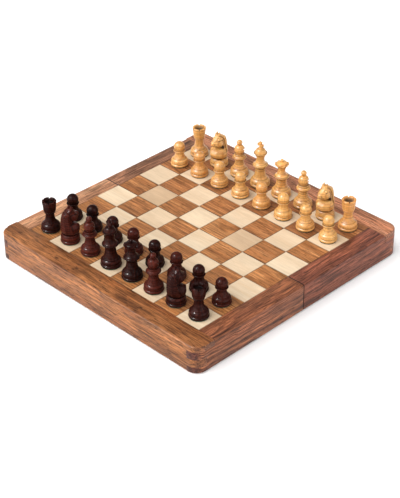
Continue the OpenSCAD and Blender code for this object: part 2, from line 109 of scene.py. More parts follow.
def ease_edges(
    obj: bpy.types.Object, width: float, segments: int = 2, by_weight: bool = False
) -> bpy.types.Object:
    """Bevels a piece's sharp edges and stores which faces are eased edges.

    Args:
        obj: The piece.
        width: How wide the eased edges are, in millimetres.
        segments: How many faces go over an edge.
        by_weight: Whether each edge has its own share of the width.

    Returns:
        The piece.
    """
    for _ in range(2):
        obj.data.materials.append(None)
    modify(
        obj, "BEVEL", width=width * MM, segments=segments, limit_method="WEIGHT" if by_weight else "ANGLE",
        angle_limit=math.radians(EASED_ANGLE), use_clamp_overlap=not by_weight, loop_slide=False, material=1,
    )
    mesh = settle(obj).data
    kinds = np.empty(len(mesh.polygons), np.int32)
    mesh.polygons.foreach_get("material_index", kinds)
    layer = mesh.attributes.new("edge", "FLOAT", "FACE")
    layer.data.foreach_set("value", kinds.astype(np.float32))
    mesh.polygons.foreach_set("material_index", np.zeros(len(kinds), np.int32))
    return obj


def coordinates(mesh: bpy.types.Mesh, kind: str = "co") -> np.ndarray:
    """The mesh's points, or their normals, as an array of rows, in metres."""
    flat = np.empty(len(mesh.vertices) * 3)
    mesh.vertices.foreach_get(kind, flat)
    return flat.reshape(-1, 3)


def note(mesh: bpy.types.Mesh, name: str, values: np.ndarray) -> None:
    """Stores one number or one vector for each point of the mesh under that name."""
    kind, part = ("FLOAT", "value") if values.ndim == 1 else ("FLOAT_VECTOR", "vector")
    layer = mesh.attributes.new(name, kind, "POINT")
    layer.data.foreach_set(part, values.astype(np.float32).ravel())


def cad_shell(node: str) -> bmesh.types.BMesh:
    """A copy of a CAD node's mesh as closed shells of whole faces, with its flat triangles joined."""
    shell = bmesh.new()
    shell.from_mesh(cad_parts[node].data)
    bmesh.ops.remove_doubles(shell, verts=shell.verts, dist=MERGE_DISTANCE)
    bmesh.ops.dissolve_limit(
        shell, angle_limit=math.radians(FLAT_ANGLE), verts=shell.verts, edges=shell.edges
    )
    return shell


def as_mesh(shell: bmesh.types.BMesh, name: str) -> bpy.types.Mesh:
    """Writes a bmesh into a new mesh and frees it."""
    mesh = bpy.data.meshes.new(name)
    shell.to_mesh(mesh)
    shell.free()
    return mesh


def eased_copy(
    node: str, piece: str, width: float, segments: int = 2, crease: float = 30.0
) -> bpy.types.Object:
    """Makes a piece from its CAD node, with its edges eased.

    Args:
        node: The CAD node.
        piece: The new piece's name.
        width: How wide the eased edges are, in millimetres.
        segments: How many faces go over an edge.
        crease: The angle in degrees over which an edge stays sharp.

    Returns:
        The piece.
    """
    obj = show(piece, as_mesh(cad_shell(node), node))
    smooth(ease_edges(obj, width, segments).data, crease)
    return obj


def dress(
    obj: bpy.types.Object, finish: bpy.types.Material, body: str, stands_for: Sequence[str] = ()
) -> None:
    """Gives a finished piece its material and its body, hides the CAD nodes that it replaces and logs it.

    Args:
        obj: The piece.
        finish: Its material.
        body: The CAD body that it rides on.
        stands_for: The CAD nodes that it replaces.
    """
    obj.data.materials.clear()
    obj.data.materials.append(finish)
    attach(obj, body)
    if stands_for:
        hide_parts(*stands_for)
    log.info("%s rides on %s with %d faces", obj.name, body, len(obj.data.polygons))


# ---- Materials ----


class NodeTree:
    """A tree of nodes, put together one after another."""

    def __init__(self, tree: bpy.types.NodeTree) -> None:
        """Starts with the tree that the nodes go into."""
        self.tree = tree

    def feed(self, socket: Socket, value: Feed) -> None:
        """Links a socket to another one, or sets its value."""
        if isinstance(value, bpy.types.NodeSocket):
            self.tree.links.new(value, socket)
        else:
            socket.default_value = value

    def put(self, kind: str, inputs: dict[Union[str, int], Feed], **settings: object) -> bpy.types.Node:
        """Adds a node.

        Args:
            kind: The node's type.
            inputs: What goes into its sockets.
            **settings: Its settings, by attribute name.

        Returns:
            The node.
        """
        node = self.tree.nodes.new(kind)
        for key, value in settings.items():
            setattr(node, key, value)
        for key, value in inputs.items():
            self.feed(node.inputs[key], value)
        return node

    def calc(self, operation: str, a: Feed, b: Feed = 0.0, c: Feed = 0.0, clamp: bool = False) -> Socket:
        """The result of a Math node."""
        node = self.put("ShaderNodeMath", {0: a, 1: b, 2: c}, operation=operation, use_clamp=clamp)
        return node.outputs[0]

    def xyz(self, x: Feed, y: Feed, z: Feed) -> Socket:
        """A vector from three numbers."""
        return self.put("ShaderNodeCombineXYZ", {0: x, 1: y, 2: z}).outputs[0]

    def split(self, vector: Socket) -> list[Socket]:
        """The three numbers of a vector."""
        return list(self.put("ShaderNodeSeparateXYZ", {0: vector}).outputs)


class Bench(NodeTree):
    """The nodes of one material."""

    def __init__(self, name: str) -> None:
        """Starts a material of that name with a Principled shader."""
        self.material = bpy.data.materials.new(name)
        self.material.use_nodes = True
        super().__init__(self.material.node_tree)
        self.tree.nodes.clear()
        self.shader = self.put("ShaderNodeBsdfPrincipled", {})
        self.put("ShaderNodeOutputMaterial", {"Surface": self.shader.outputs[0]})

    def surface(self, **inputs: Feed) -> bpy.types.Material:
        """Sets the shader's sockets, with an underscore for a space, and gives the material."""
        for key, value in inputs.items():
            self.feed(self.shader.inputs[key.replace("_", " ")], value)
        return self.material

    def product(self, first: Feed, *others: Feed) -> Socket:
        """Numbers multiplied together."""
        for other in others:
            first = self.calc("MULTIPLY", first, other)
        return first

    def total(self, first: Feed, *others: Feed) -> Socket:
        """Numbers added together."""
        for other in others:
            first = self.calc("ADD", first, other)
        return first

    def less(self, value: Socket, share: float = 1.0) -> Socket:
        """One, less a share of a number."""
        return self.calc("MULTIPLY_ADD", value, -share, 1.0)

    def around(self, noise: Socket, reach: float, middle: float = 0.0) -> Socket:
        """Noise as a number that reaches that far to both sides of a middle."""
        return self.calc("MULTIPLY_ADD", noise, 2 * reach, middle - reach)

    def vector(self, operation: str, a: Feed, b: Feed = (0.0, 0.0, 0.0)) -> Socket:
        """The vector result of a Vector Math node."""
        return self.put("ShaderNodeVectorMath", {0: a, 1: b}, operation=operation).outputs[0]

    def length(self, a: Socket) -> Socket:
        """The length of a vector."""
        return self.put("ShaderNodeVectorMath", {0: a}, operation="LENGTH").outputs["Value"]

    def ease(
        self, value: Socket, low: float, high: float, to_low: float = 0.0, to_high: float = 1.0
    ) -> Socket:
        """Maps low to high smoothly onto to_low to to_high."""
        inputs = {"Value": value, "From Min": low, "From Max": high, "To Min": to_low, "To Max": to_high}
        return self.put("ShaderNodeMapRange", inputs, interpolation_type="SMOOTHSTEP").outputs[0]

    def swing(self, noise: Socket, share: float, width: float = 0.2) -> Socket:
        """Noise as a factor between 1 - share and 1 + share."""
        return self.ease(noise, 0.5 - width, 0.5 + width, 1 - share, 1 + share)

    def blend(self, share: Feed, a: Union[Socket, Rgb], b: Union[Socket, Rgb], mode: str = "MIX") -> Socket:
        """A mix of two colours."""
        a, b = (c if isinstance(c, bpy.types.NodeSocket) else (*c, 1.0) for c in (a, b))
        node = self.put("ShaderNodeMix", {0: share, 6: a, 7: b}, data_type="RGBA", blend_type=mode)
        return node.outputs[2]

    def shaded(self, colour: Socket, shade: Socket) -> Socket:
        """A colour times a number."""
        grey = self.put("ShaderNodeCombineColor", {0: shade, 1: shade, 2: shade}).outputs[0]
        return self.blend(1.0, colour, grey, "MULTIPLY")

    def ramp(self, value: Socket, *colours: Rgb) -> Socket:
        """Evenly spaced colours, from 0 to 1."""
        node = self.put("ShaderNodeValToRGB", {0: value})
        elements = node.color_ramp.elements
        while len(elements) < len(colours):
            elements.new(0.5)
        for k, colour in enumerate(colours):
            elements[k].position = k / (len(colours) - 1)
            elements[k].color = (*colour, 1.0)
        return node.outputs[0]

    def noise(
        self, at: Socket, scale: float = 1.0, detail: float = 2.0, rough: float = 0.5, swirl: float = 0.0
    ) -> Socket:
        """Cloudy noise around 0.5 at a place."""
        inputs = {"Vector": at, "Scale": scale, "Detail": detail, "Roughness": rough, "Distortion": swirl}
        return self.put("ShaderNodeTexNoise", inputs).outputs["Fac"]

    def drawn(self, at: Socket, pace: Point2, detail: float = 2.0, rough: float = 0.5) -> Socket:
        """Noise that has one pace along x and another across it."""
        at = self.vector("MULTIPLY", at, (pace[0], pace[1], pace[1]))
        return self.noise(at, detail=detail, rough=rough)

    def noise_line(self, at: Socket, scale: float, detail: float = 2.0) -> Socket:
        """Noise along a single number."""
        inputs = {"W": at, "Scale": scale, "Detail": detail, "Roughness": 0.55}
        return self.put("ShaderNodeTexNoise", inputs, noise_dimensions="1D").outputs["Fac"]

    def note(self, name: str, part: str = "Fac") -> Socket:
        """What the piece stores under a name."""
        return self.put("ShaderNodeAttribute", {}, attribute_name=name).outputs[part]

    def millimetres(self) -> Socket:
        """The place in the object, in millimetres."""
        place = self.put("ShaderNodeTexCoord", {}).outputs["Object"]
        return self.vector("MULTIPLY", place, (1 / MM, 1 / MM, 1 / MM))

    def bump(self, height: Socket, strength: float, depth: float) -> Socket:
        """A normal bumped by a height, to a depth in millimetres."""
        inputs = {"Height": height, "Strength": strength, "Distance": depth * MM}
        return self.put("ShaderNodeBump", inputs).outputs[0]


class Grain(Enum):
    """Which way a wood's grain runs, and what it follows."""

    ALONG_X = "object x"
    ALONG_Y = "object y"
    SHIFTED_X = "object x, shifted for each tile"
    OWN = "the piece's own stored grain"


class Pace:
    """How often a wood's figure changes in a millimetre, along and across the grain."""

    SWAY = (0.008, 0.03)
    RIPPLE = (0.05, 0.12)
    CLOUD = (0.02, 0.045)
    FIBRE = (0.06, 1.7)
    PORE = (0.16, 3.6)
    FLECK = (0.11, 0.8)
    STREAK_ALONG = 0.008
    HAIR_ALONG = 0.03
    LATHE_LINES = 0.55


@dataclass(frozen=True)
class SolidWood:
    """Wood that runs through the whole piece, so that end grain shows where it should.

    Colours are linear, lengths and widths are in millimetres, and the other fields are shares. The heart
    and the sap are lines along the grain; the sap's last two numbers are the radii where it is palest and
    where it ends. The painted shade at the foot, the rim line and the painted shade at the seam fade
    between their two places. A knot is its x, y and radius.
    """

    name: str
    grain: Grain
    early: Rgb
    body: Rgb
    late: Rgb
    streak: Rgb
    ring: float = 5.0
    heart: Point2 = (45.0, -60.0)
    waver: float = 5.0
    streaks: float = 0.6
    streak_width: float = 5.0
    hair: float = 0.5
    hair_width: float = 1.9
    fibre: float = 0.16
    cloud: float = 0.3
    flecks: float = 0.35
    pores: float = 0.4
    end_shade: float = 0.5
    end_colour: Rgb = (0.09, 0.03, 0.02)
    sap: Optional[tuple[float, float, float, float]] = None
    sap_run: float = 0.0
    # Painted shade: a rail's faces darken by this share towards their bottom, between the heights in foot.
    painted_foot_shade: float = 0.0
    foot: Point2 = (6.0, 26.0)
    tone_swing: float = 0.0
    tone_colour: Rgb = (1.0, 1.0, 1.0)
    # Darkens the wood where the stored hollow is: burn lines in the cut rings, and painted shade in creases,
    # recesses and the knight's carving.
    burn_lines_and_shade: float = 0.0
    turning: float = 0.0
    rim_line: float = 0.0
    rim: Point2 = (15.1, 15.8)
    rough: float = 0.45
    gloss: float = 0.22
    coat: float = 0.04
    coat_rough: float = 0.3
    worn_edges: float = 0.0
    # Painted shade: the wood darkens by this share within the millimetre next to the seam gap.
    painted_seam_shade: float = 0.0
    seam: Point2 = (0.45, 1.0)
    knots: tuple[tuple[float, float, float], ...] = ()

    def place(self, bench: Bench) -> Socket:
        """Where a point lies in the plank, in millimetres, with x along the grain."""
        if self.grain is Grain.OWN:
            return bench.note("grain", "Vector")
        place = bench.millimetres()
        if self.grain is Grain.SHIFTED_X:
            return bench.vector("ADD", place, bench.note("shift", "Vector"))
        if self.grain is Grain.ALONG_Y:
            x, y, z = bench.split(place)
            return bench.xyz(y, x, z)
        return place

    def end_grain(self, bench: Bench) -> Socket:
        """How far a face looks along the grain, from 0 to 1."""
        normal = bench.put("ShaderNodeTexCoord", {}).outputs["Normal"]
        axis = bench.split(normal)[1 if self.grain is Grain.ALONG_Y else 0]
        return bench.ease(bench.calc("ABSOLUTE", axis), 0.35, 0.75)

    def from_line(self, bench: Bench, across: Socket, up: Socket, centre: Point2) -> Socket:
        """Distance from a line along the grain."""
        return bench.length(
            bench.xyz(0.0, bench.calc("SUBTRACT", across, centre[0]), bench.calc("SUBTRACT", up, centre[1]))
        )

    def painted_shade_and_knots(self, bench: Bench) -> list[Socket]:
        """How much light a rail's knots leave, with painted shade at the seam and towards the foot."""
        if not self.painted_seam_shade:
            return []
        x, y, z = bench.split(bench.millimetres())
        # Painted shade in the seam gap between the halves.
        left = [bench.ease(bench.calc("ABSOLUTE", y), *self.seam, 1 - self.painted_seam_shade, 1.0)]
        # Painted shade that darkens the faces towards their bottom.
        if self.painted_foot_shade:
            left.append(bench.ease(z, *self.foot, 1 - self.painted_foot_shade, 1.0))
        for knot_x, knot_y, size in self.knots:
            along = bench.product(bench.calc("SUBTRACT", x, knot_x), 0.55)
            off = bench.length(bench.xyz(along, bench.calc("SUBTRACT", y, knot_y), 0.0))
            left.append(bench.ease(off, 0.2 * size, size, 0.3, 1.0))
        return left

    def tile_rim(self, bench: Bench) -> Socket:
        """How near a point is to the rim of its tile, from 0 to 1."""
        x, y, _ = bench.split(bench.vector("ABSOLUTE", bench.note("tile", "Vector")))
        return bench.ease(bench.calc("MAXIMUM", x, y), *(reach * MM for reach in self.rim))

    def sapwood(
        self, bench: Bench, plank: Socket, lines: tuple[Socket, Socket], flow: Socket, cloud: Socket
    ) -> Socket:
        """How far a point is in the pale sapwood, from 0 to 1.

        Args:
            bench: The material's nodes.
            plank: The place in the plank.
            lines: The wavering places across and up.
            flow: The streaks' noise.
            cloud: The clouds' noise.

        Returns:
            The share.
        """
        across, up, pale_r, end_r = self.sap
        radius = self.from_line(bench, *lines, (across, up))
        radius = bench.total(radius, bench.around(cloud, 15.0), bench.around(flow, 12.0))
        along, _, height = bench.split(plank)
        run = bench.calc("MINIMUM", bench.total(along, 45.0), 0.0)
        run = bench.product(run, bench.ease(height, 24.0, 31.0, 0.0, self.sap_run))
        pale = bench.ease(bench.total(radius, run), pale_r, end_r, 1.0, 0.0)
        return bench.product(pale, bench.ease(cloud, 0.25, 0.6, 0.55, 1.0))

    def overlays(self, bench: Bench, cloud: Socket) -> list[tuple[Socket, Rgb]]:
        """Each piece's own tone, its end grain and its worn edges, as (share, colour)."""
        layers = []
        if self.tone_swing:
            layers.append((bench.product(bench.note("tone"), self.tone_swing), self.tone_colour))
        if self.end_shade and self.grain is not Grain.OWN:
            layers.append((bench.product(self.end_grain(bench), self.end_shade), self.end_colour))
        if self.worn_edges:
            patchy = bench.ease(cloud, 0.35, 0.65, 0.3, 1.0)
            layers.append((bench.product(bench.note("edge"), self.worn_edges, patchy), self.early))
        return layers

    def material(self) -> bpy.types.Material:
        """Builds the material."""
        bench = Bench(self.name)
        plank = self.place(bench)
        sway = bench.around(bench.drawn(plank, Pace.SWAY), self.waver)
        sway = bench.total(sway, bench.around(bench.drawn(plank, Pace.RIPPLE, 1.0), 1.0))
        along, across, up = bench.split(plank)
        across, up = bench.total(across, sway), bench.total(up, sway)
        aside = bench.xyz(along, across, up)
        rings = bench.noise_line(self.from_line(bench, across, up, self.heart), 1.0 / self.ring, 2.5)
        flow = bench.drawn(aside, (Pace.STREAK_ALONG, 1.0 / self.streak_width), 3.0, 0.6)
        hair = bench.drawn(aside, (Pace.HAIR_ALONG, 1.0 / self.hair_width), 3.0, 0.65)
        fibre = bench.drawn(aside, Pace.FIBRE, 3.0, 0.65)
        cloud = bench.drawn(plank, Pace.CLOUD)
        layers = [(bench.ease(flow, 0.48, 0.68, 0.0, self.streaks), self.streak)]
        if self.sap:
            layers.insert(0, (self.sapwood(bench, plank, (across, up), flow, cloud), self.early))
        colour = bench.ramp(bench.ease(rings, 0.2, 0.8), self.early, self.body, self.late)
        for share, tint in layers + self.overlays(bench, cloud):
            colour = bench.blend(share, colour, tint)
        pore = bench.ease(bench.drawn(aside, Pace.PORE, 1.0), 0.6, 0.74, 0.0, self.pores)
        fleck = bench.ease(bench.drawn(aside, Pace.FLECK, 1.5), 0.56, 0.7, 0.0, self.flecks)
        pits = bench.calc("MAXIMUM", pore, fleck)
        shades = [bench.swing(fibre, self.fibre), bench.swing(hair, self.hair / 2)]
        shades += [bench.swing(cloud, self.cloud / 2, 0.18), bench.less(pits)]
        height = bench.calc("SUBTRACT", fibre, pits)
        if self.turning:
            lines = bench.noise_line(along, Pace.LATHE_LINES, 3.0)
            shades.append(bench.swing(lines, self.turning))
            height = bench.total(height, bench.product(lines, 1.5))
        # Burn lines, and painted shade in creases and recesses.
        if self.burn_lines_and_shade:
            shades.append(bench.less(bench.note("hollow"), self.burn_lines_and_shade))
        if self.rim_line:
            shades.append(bench.less(self.tile_rim(bench), self.rim_line))
        relief = bench.bump(height, 0.3, 0.12)
        return bench.surface(
            Base_Color=bench.shaded(colour, bench.product(*shades, *self.painted_shade_and_knots(bench))),
            Roughness=bench.total(bench.around(hair, 0.08, self.rough), bench.product(pits, 0.25)),
            Normal=relief,
            Coat_Normal=relief,
            Coat_Weight=self.coat,
            Coat_Roughness=self.coat_rough,
            Specular_IOR_Level=self.gloss,
        )


@dataclass(frozen=True)
class Metal:
    """Brushed, lightly worn metal."""

    name: str
    colour: Rgb
    tarnish: Rgb
    rough: float = 0.3
    brushed: Point2 = (0.2, 6.0)
    patina: float = 0.5

    def material(self) -> bpy.types.Material:
        """Builds the material."""
        bench = Bench(self.name)
        place = bench.millimetres()
        cloud = bench.noise(place, scale=0.35, detail=4.0, rough=0.6)
        speck = bench.noise(place, scale=2.6, detail=3.0, rough=0.7)
        stain = bench.ease(cloud, 0.42, 0.68, 0.0, self.patina)
        stain = bench.total(stain, bench.ease(speck, 0.6, 0.75, 0.0, 0.25))
        brush = bench.drawn(place, self.brushed, 3.0, 0.7)
        return bench.surface(
            Base_Color=bench.blend(stain, self.colour, self.tarnish),
            Metallic=1.0,
            Roughness=bench.total(bench.around(brush, 0.1, self.rough), bench.product(stain, 0.3)),
            Normal=bench.bump(brush, 0.2, 0.03),
        )


@dataclass(frozen=True)
class Pile:
    """Short pile: the felt under the men, and the flock in the trays."""

    name: str
    colour: Rgb
    tip: Rgb
    fibre: float
    nap_marks_and_sheen: float = 0.25

    def material(self) -> bpy.types.Material:
        """Builds the material."""
        bench = Bench(self.name)
        place = bench.millimetres()
        fuzz = bench.noise(place, scale=self.fibre, detail=4.0, rough=0.75)
        nap_marks_and_sheen = bench.noise(place, scale=self.nap_marks_and_sheen, detail=3.0, rough=0.55, swirl=1.2)
        colour = bench.blend(bench.calc("MULTIPLY_ADD", fuzz, 1.1, -0.2, clamp=True), self.colour, self.tip)
        # The nap's patches are partly pressed marks and partly painted sheen.
        return bench.surface(
            Base_Color=bench.shaded(colour, bench.ease(nap_marks_and_sheen, 0.3, 0.7, 0.72, 1.12)),
            Roughness=bench.ease(fuzz, 0.2, 0.8, 0.85, 1.0),
            Normal=bench.bump(fuzz, 0.8, 0.25),
            Sheen_Weight=0.35,
            Sheen_Roughness=0.5,
            Specular_IOR_Level=0.2,
        )


@dataclass(frozen=True)
class Backdrop:
    """The plain pale floor."""

    name: str
    colour: Rgb
    glow: float = 0.1

    def material(self) -> bpy.types.Material:
        """Builds the material."""
        bench = Bench(self.name)
        soft = bench.noise(bench.millimetres(), scale=0.02)
        return bench.surface(
            Base_Color=(*self.colour, 1.0),
            Roughness=bench.ease(soft, 0.3, 0.7, 0.75, 0.85),
            Specular_IOR_Level=0.2,
            Emission_Color=(1.0, 1.0, 1.0, 1.0),
            Emission_Strength=self.glow,
        )


FRONT_END_WOOD = SolidWood(
    "front_end_rail_wood", Grain.ALONG_X,
    early=(0.285, 0.108, 0.0355), body=(0.228, 0.0665, 0.019), late=(0.165, 0.046, 0.013),
    streak=(0.0646, 0.0182, 0.0068), ring=3.4, heart=(-118.0, -64.0), waver=6.0, streaks=0.45,
    streak_width=4.0, hair=1.15, hair_width=1.8, sap=(-154.0, 25.0, 8.0, 44.0), sap_run=0.42, flecks=0.6,
    cloud=0.4, worn_edges=0.3, painted_seam_shade=0.7, painted_foot_shade=0.19,
    knots=(
        (-66.0, -143.5, 2.6), (-36.5, -141.5, 2.2), (-38.0, -145.0, 1.7), (-2.5, -139.5, 1.8),
        (61.0, -142.0, 1.6),
    ),
)
REAR_END_WOOD = replace(
    FRONT_END_WOOD, name="rear_end_rail_wood", painted_foot_shade=0.0, early=(0.507, 0.229, 0.129),
    body=(0.394, 0.157, 0.0786), late=(0.253, 0.0929, 0.0501), heart=(112.0, -40.0), sap=None, knots=(),
)
FRONT_RIGHT_WOOD = SolidWood(
    "front_right_rail_wood", Grain.ALONG_Y,
    early=(0.38, 0.138, 0.0585), body=(0.245, 0.081, 0.0345), late=(0.135, 0.042, 0.0195),
    streak=(0.05, 0.016, 0.0095), ring=3.2, heart=(118.0, -30.0), waver=6.0, flecks=0.55,
    streak_width=3.4, hair=1.15, cloud=0.4, hair_width=1.8, worn_edges=0.3, painted_seam_shade=0.75, painted_foot_shade=0.27,
    end_shade=0.9, end_colour=(0.07, 0.02, 0.014),
)
REAR_RIGHT_WOOD = replace(
    FRONT_RIGHT_WOOD, name="rear_right_rail_wood", early=(0.335, 0.107, 0.052), body=(0.218, 0.0665, 0.0356),
    late=(0.12, 0.036, 0.0215), heart=(126.0, -44.0), streaks=0.65,
)
FRONT_LEFT_WOOD = replace(
    FRONT_RIGHT_WOOD, name="front_left_rail_wood", early=(0.572, 0.306, 0.167), body=(0.429, 0.202, 0.105),
    late=(0.286, 0.122, 0.0619), heart=(-120.0, -36.0), streaks=0.45,
)
REAR_LEFT_WOOD = replace(
    FRONT_RIGHT_WOOD, name="rear_left_rail_wood", early=(0.392, 0.192, 0.103), body=(0.263, 0.12, 0.0653),
    late=(0.16, 0.0692, 0.0412), heart=(-126.0, -40.0),
)
HINGE_RAIL_WOOD = SolidWood(
    "hinge_rail_wood", Grain.ALONG_X,
    early=(0.34, 0.135, 0.06), body=(0.24, 0.085, 0.036), late=(0.15, 0.050, 0.022),
    streak=(0.07, 0.024, 0.012), heart=(0.0, -40.0), worn_edges=0.2, painted_seam_shade=0.75,
)
DARK_SQUARE_WOOD = SolidWood(
    "dark_square_veneer", Grain.SHIFTED_X,
    early=(0.517, 0.226, 0.0806), body=(0.384, 0.153, 0.0484), late=(0.264, 0.0948, 0.0282),
    streak=(0.121, 0.0397, 0.0141), ring=2.6, heart=(20.0, -50.0), waver=3.0, streaks=0.65,
    streak_width=2.8, hair=0.7, hair_width=1.6, end_shade=0.0, rim_line=0.6,
    flecks=0.45, tone_swing=0.45, tone_colour=(0.22, 0.0795, 0.0323),
)
LIGHT_SQUARE_WOOD = SolidWood(
    "light_square_veneer", Grain.SHIFTED_X,
    early=(0.729, 0.583, 0.41), body=(0.684, 0.528, 0.36), late=(0.655, 0.491, 0.325),
    streak=(0.511, 0.337, 0.192), heart=(30.0, -70.0), streaks=0.08,
    streak_width=8.0, hair=0.1, fibre=0.05, flecks=0.05, pores=0.08, cloud=0.12, end_shade=0.0, rim_line=0.4,
    tone_swing=0.8, tone_colour=(0.443, 0.27, 0.146), rough=0.5,
)
PLY_WOOD = SolidWood(
    "panel_plywood", Grain.ALONG_X,
    early=(0.55, 0.40, 0.24), body=(0.47, 0.32, 0.18), late=(0.36, 0.23, 0.12),
    streak=(0.24, 0.14, 0.07), end_shade=0.3, coat=0.0, rough=0.7,
)
LIGHT_MAN_WOOD = SolidWood(
    "light_man_boxwood", Grain.OWN,
    early=(0.675, 0.372, 0.117), body=(0.62, 0.318, 0.091), late=(0.53, 0.242, 0.061),
    streak=(0.38, 0.148, 0.0367), ring=2.6, heart=(26.0, 9.0), waver=1.6, streaks=0.3,
    streak_width=3.0, hair=0.14, fibre=0.08, flecks=0.12, pores=0.1, cloud=0.15, turning=0.2, burn_lines_and_shade=0.95,
    tone_swing=0.55, tone_colour=(0.506, 0.196, 0.0477), rough=0.38, gloss=0.35, coat=0.2, coat_rough=0.25,
)
DARK_MAN_WOOD = SolidWood(
    "dark_man_rosewood", Grain.OWN,
    early=(0.036, 0.0075, 0.0045), body=(0.0165, 0.0036, 0.0026), late=(0.0085, 0.0021, 0.0018),
    streak=(0.004, 0.0014, 0.0014), ring=2.6, heart=(24.0, -8.0), waver=1.8, streaks=0.5,
    streak_width=3.0, hair=0.5, flecks=0.3, turning=0.35, burn_lines_and_shade=0.9,
    tone_swing=0.75, tone_colour=(0.0775, 0.0143, 0.0088), rough=0.3, gloss=0.02, coat=0.12, coat_rough=0.07,
)
BRASS = Metal("hinge_brass", (0.83, 0.60, 0.26), (0.42, 0.27, 0.10), rough=0.28)
NICKEL = Metal("magnet_nickel", (0.72, 0.71, 0.68), (0.42, 0.40, 0.37), rough=0.22, patina=0.25)
SHEET_STEEL = Metal("sheet_steel", (0.45, 0.46, 0.47), (0.28, 0.24, 0.21), rough=0.42, patina=0.35)
FLOCK = Pile("tray_flock", (0.016, 0.052, 0.030), (0.045, 0.115, 0.070), fibre=3.2, nap_marks_and_sheen=0.07)
FELT = Pile("man_felt", (0.018, 0.045, 0.022), (0.05, 0.095, 0.05), fibre=4.0)
FLOOR = Backdrop("studio_floor", (0.93, 0.93, 0.93))


# ---- Board ----


class Half(Enum):
    """The two halves of the box, with the sign that their y has."""

    FRONT = -1
    REAR = 1

    @property
    def prefix(self) -> str:
        """How the names of its CAD nodes begin."""
        return self.name.lower()

    @property
    def body(self) -> str:
        """The CAD body that it is."""
        return f"{self.prefix}_half"


@dataclass
class Board:
    """Sizes that the sub-assemblies share, in millimetres."""

    square: float = 32.0
    ranks: int = 8
    top_z: float = 32.65
    rim_z: float = 1.65
    seam_y: float = 0.3

    @property
    def play_half(self) -> float:
        """Half the side of the playing surface."""
        return self.square * self.ranks / 2

    def middle(self, file: int, rank: int) -> Vector:
        """The middle of a square's top in millimetres, counted from the h-file and the front."""
        x, y = ((step + 0.5) * self.square - self.play_half for step in (file, rank))
        return Vector((x, y, self.top_z))


@dataclass
class FrameRails:
    """The four rails of one half, finger jointed at the corners."""

    half: Half
    board: Board
    ease: float = 0.4
    joint_share: float = 0.3
    rim_share: float = 0.9
    crease: float = 40.0
    shortest_edge: float = 0.6
    near: float = 0.02

    def weigh(self, shell: bmesh.types.BMesh) -> None:
        """Says how much each sharp edge is eased: the seam and the rim more than the tight joints."""
        layer = shell.edges.layers.float.new("bevel_weight_edge")
        for edge in shell.edges:
            if len(edge.link_faces) != 2 or edge.calc_face_angle() < math.radians(self.crease):
                continue
            if edge.calc_length() < self.shortest_edge * MM:
                continue
            ends = [v.co / MM for v in edge.verts]
            at_seam = all(abs(abs(p.y) - self.board.seam_y) < self.near for p in ends)
            at_rim = all(abs(p.z - self.board.rim_z) < self.near for p in ends)
            edge[layer] = 1.0 if at_seam else self.rim_share if at_rim else self.joint_share

    def build(self, finishes: Finishes) -> None:
        """Makes the four rails from their CAD nodes."""
        own = self.half.prefix
        rails = {
            "end_rail": (f"{own}_end_wood", "end_wood"),
            "left_rail": (f"{own}_left_wood", "side_wood"),
            "right_rail": (f"{own}_right_wood", "side_wood"),
            "hinge_rail": ("hinge_rail_wood", "hinge_rail_wood"),
        }
        for name, (finish, slot) in rails.items():
            node = f"{own}_{name}"
            shell = cad_shell(node)
            self.weigh(shell)
            obj = show(f"{node}_wood", as_mesh(shell, node))
            smooth(ease_edges(obj, self.ease, by_weight=True).data, 28.0)
            dress(obj, finishes[finish], self.half.body, [node])


class NodeGroup(NodeTree):
    """A Geometry Nodes tree that repeats a piece on given points."""

    def __init__(self, name: str, sizes: Sequence[str]) -> None:
        """Starts a tree that takes points, sizes and a finish."""
        super().__init__(bpy.data.node_groups.new(name, "GeometryNodeTree"))
        add = self.tree.interface.new_socket
        add(name="Geometry", in_out="OUTPUT", socket_type="NodeSocketGeometry")
        kinds = {"Geometry": "Geometry", **{size: "Float" for size in sizes}, "Finish": "Material"}
        self.identifiers = {
            key: add(name=key, in_out="INPUT", socket_type="NodeSocket" + kind).identifier
            for key, kind in kinds.items()
        }
        self.given = self.put("NodeGroupInput", {}).outputs
        self.output = self.put("NodeGroupOutput", {})

    def finish(self, instance: Socket, turn: Feed = (0.0, 0.0, 0.0)) -> "NodeGroup":
        """Sets the instance on each point, turned that far, makes it real and gives it its finish."""
        spread = self.put(
            "GeometryNodeInstanceOnPoints",
            {"Points": self.given["Geometry"], "Instance": instance, "Rotation": turn},
        )
        real = self.put("GeometryNodeRealizeInstances", {"Geometry": spread.outputs[0]})
        inputs = {"Geometry": real.outputs[0], "Material": self.given["Finish"]}
        self.feed(self.output.inputs[0], self.put("GeometryNodeSetMaterial", inputs).outputs[0])
        return self

    def run(
        self, name: str, places: Sequence[Vector], finish: bpy.types.Material, sizes: dict[str, float],
        **notes: Sequence,
    ) -> bpy.types.Object:
        """Runs the tree on points.

        Args:
            name: The new object's name.
            places: Where the instances go, in metres.
            finish: Their material.
            sizes: The tree's sizes, in millimetres.
            **notes: What the points store for their instances.

        Returns:
            The object with a plain mesh.
        """
        points = bpy.data.meshes.new(name)
        points.from_pydata(places, [], [])
        for key, values in notes.items():
            note(points, key, np.array(values))
        obj = show(name, points)
        modifier = obj.modifiers.new("nodes", "NODES")
        modifier.node_group = self.tree
        for key, size in sizes.items():
            modifier[self.identifiers[key]] = size * MM
        modifier[self.identifiers["Finish"]] = finish
        return settle(obj)


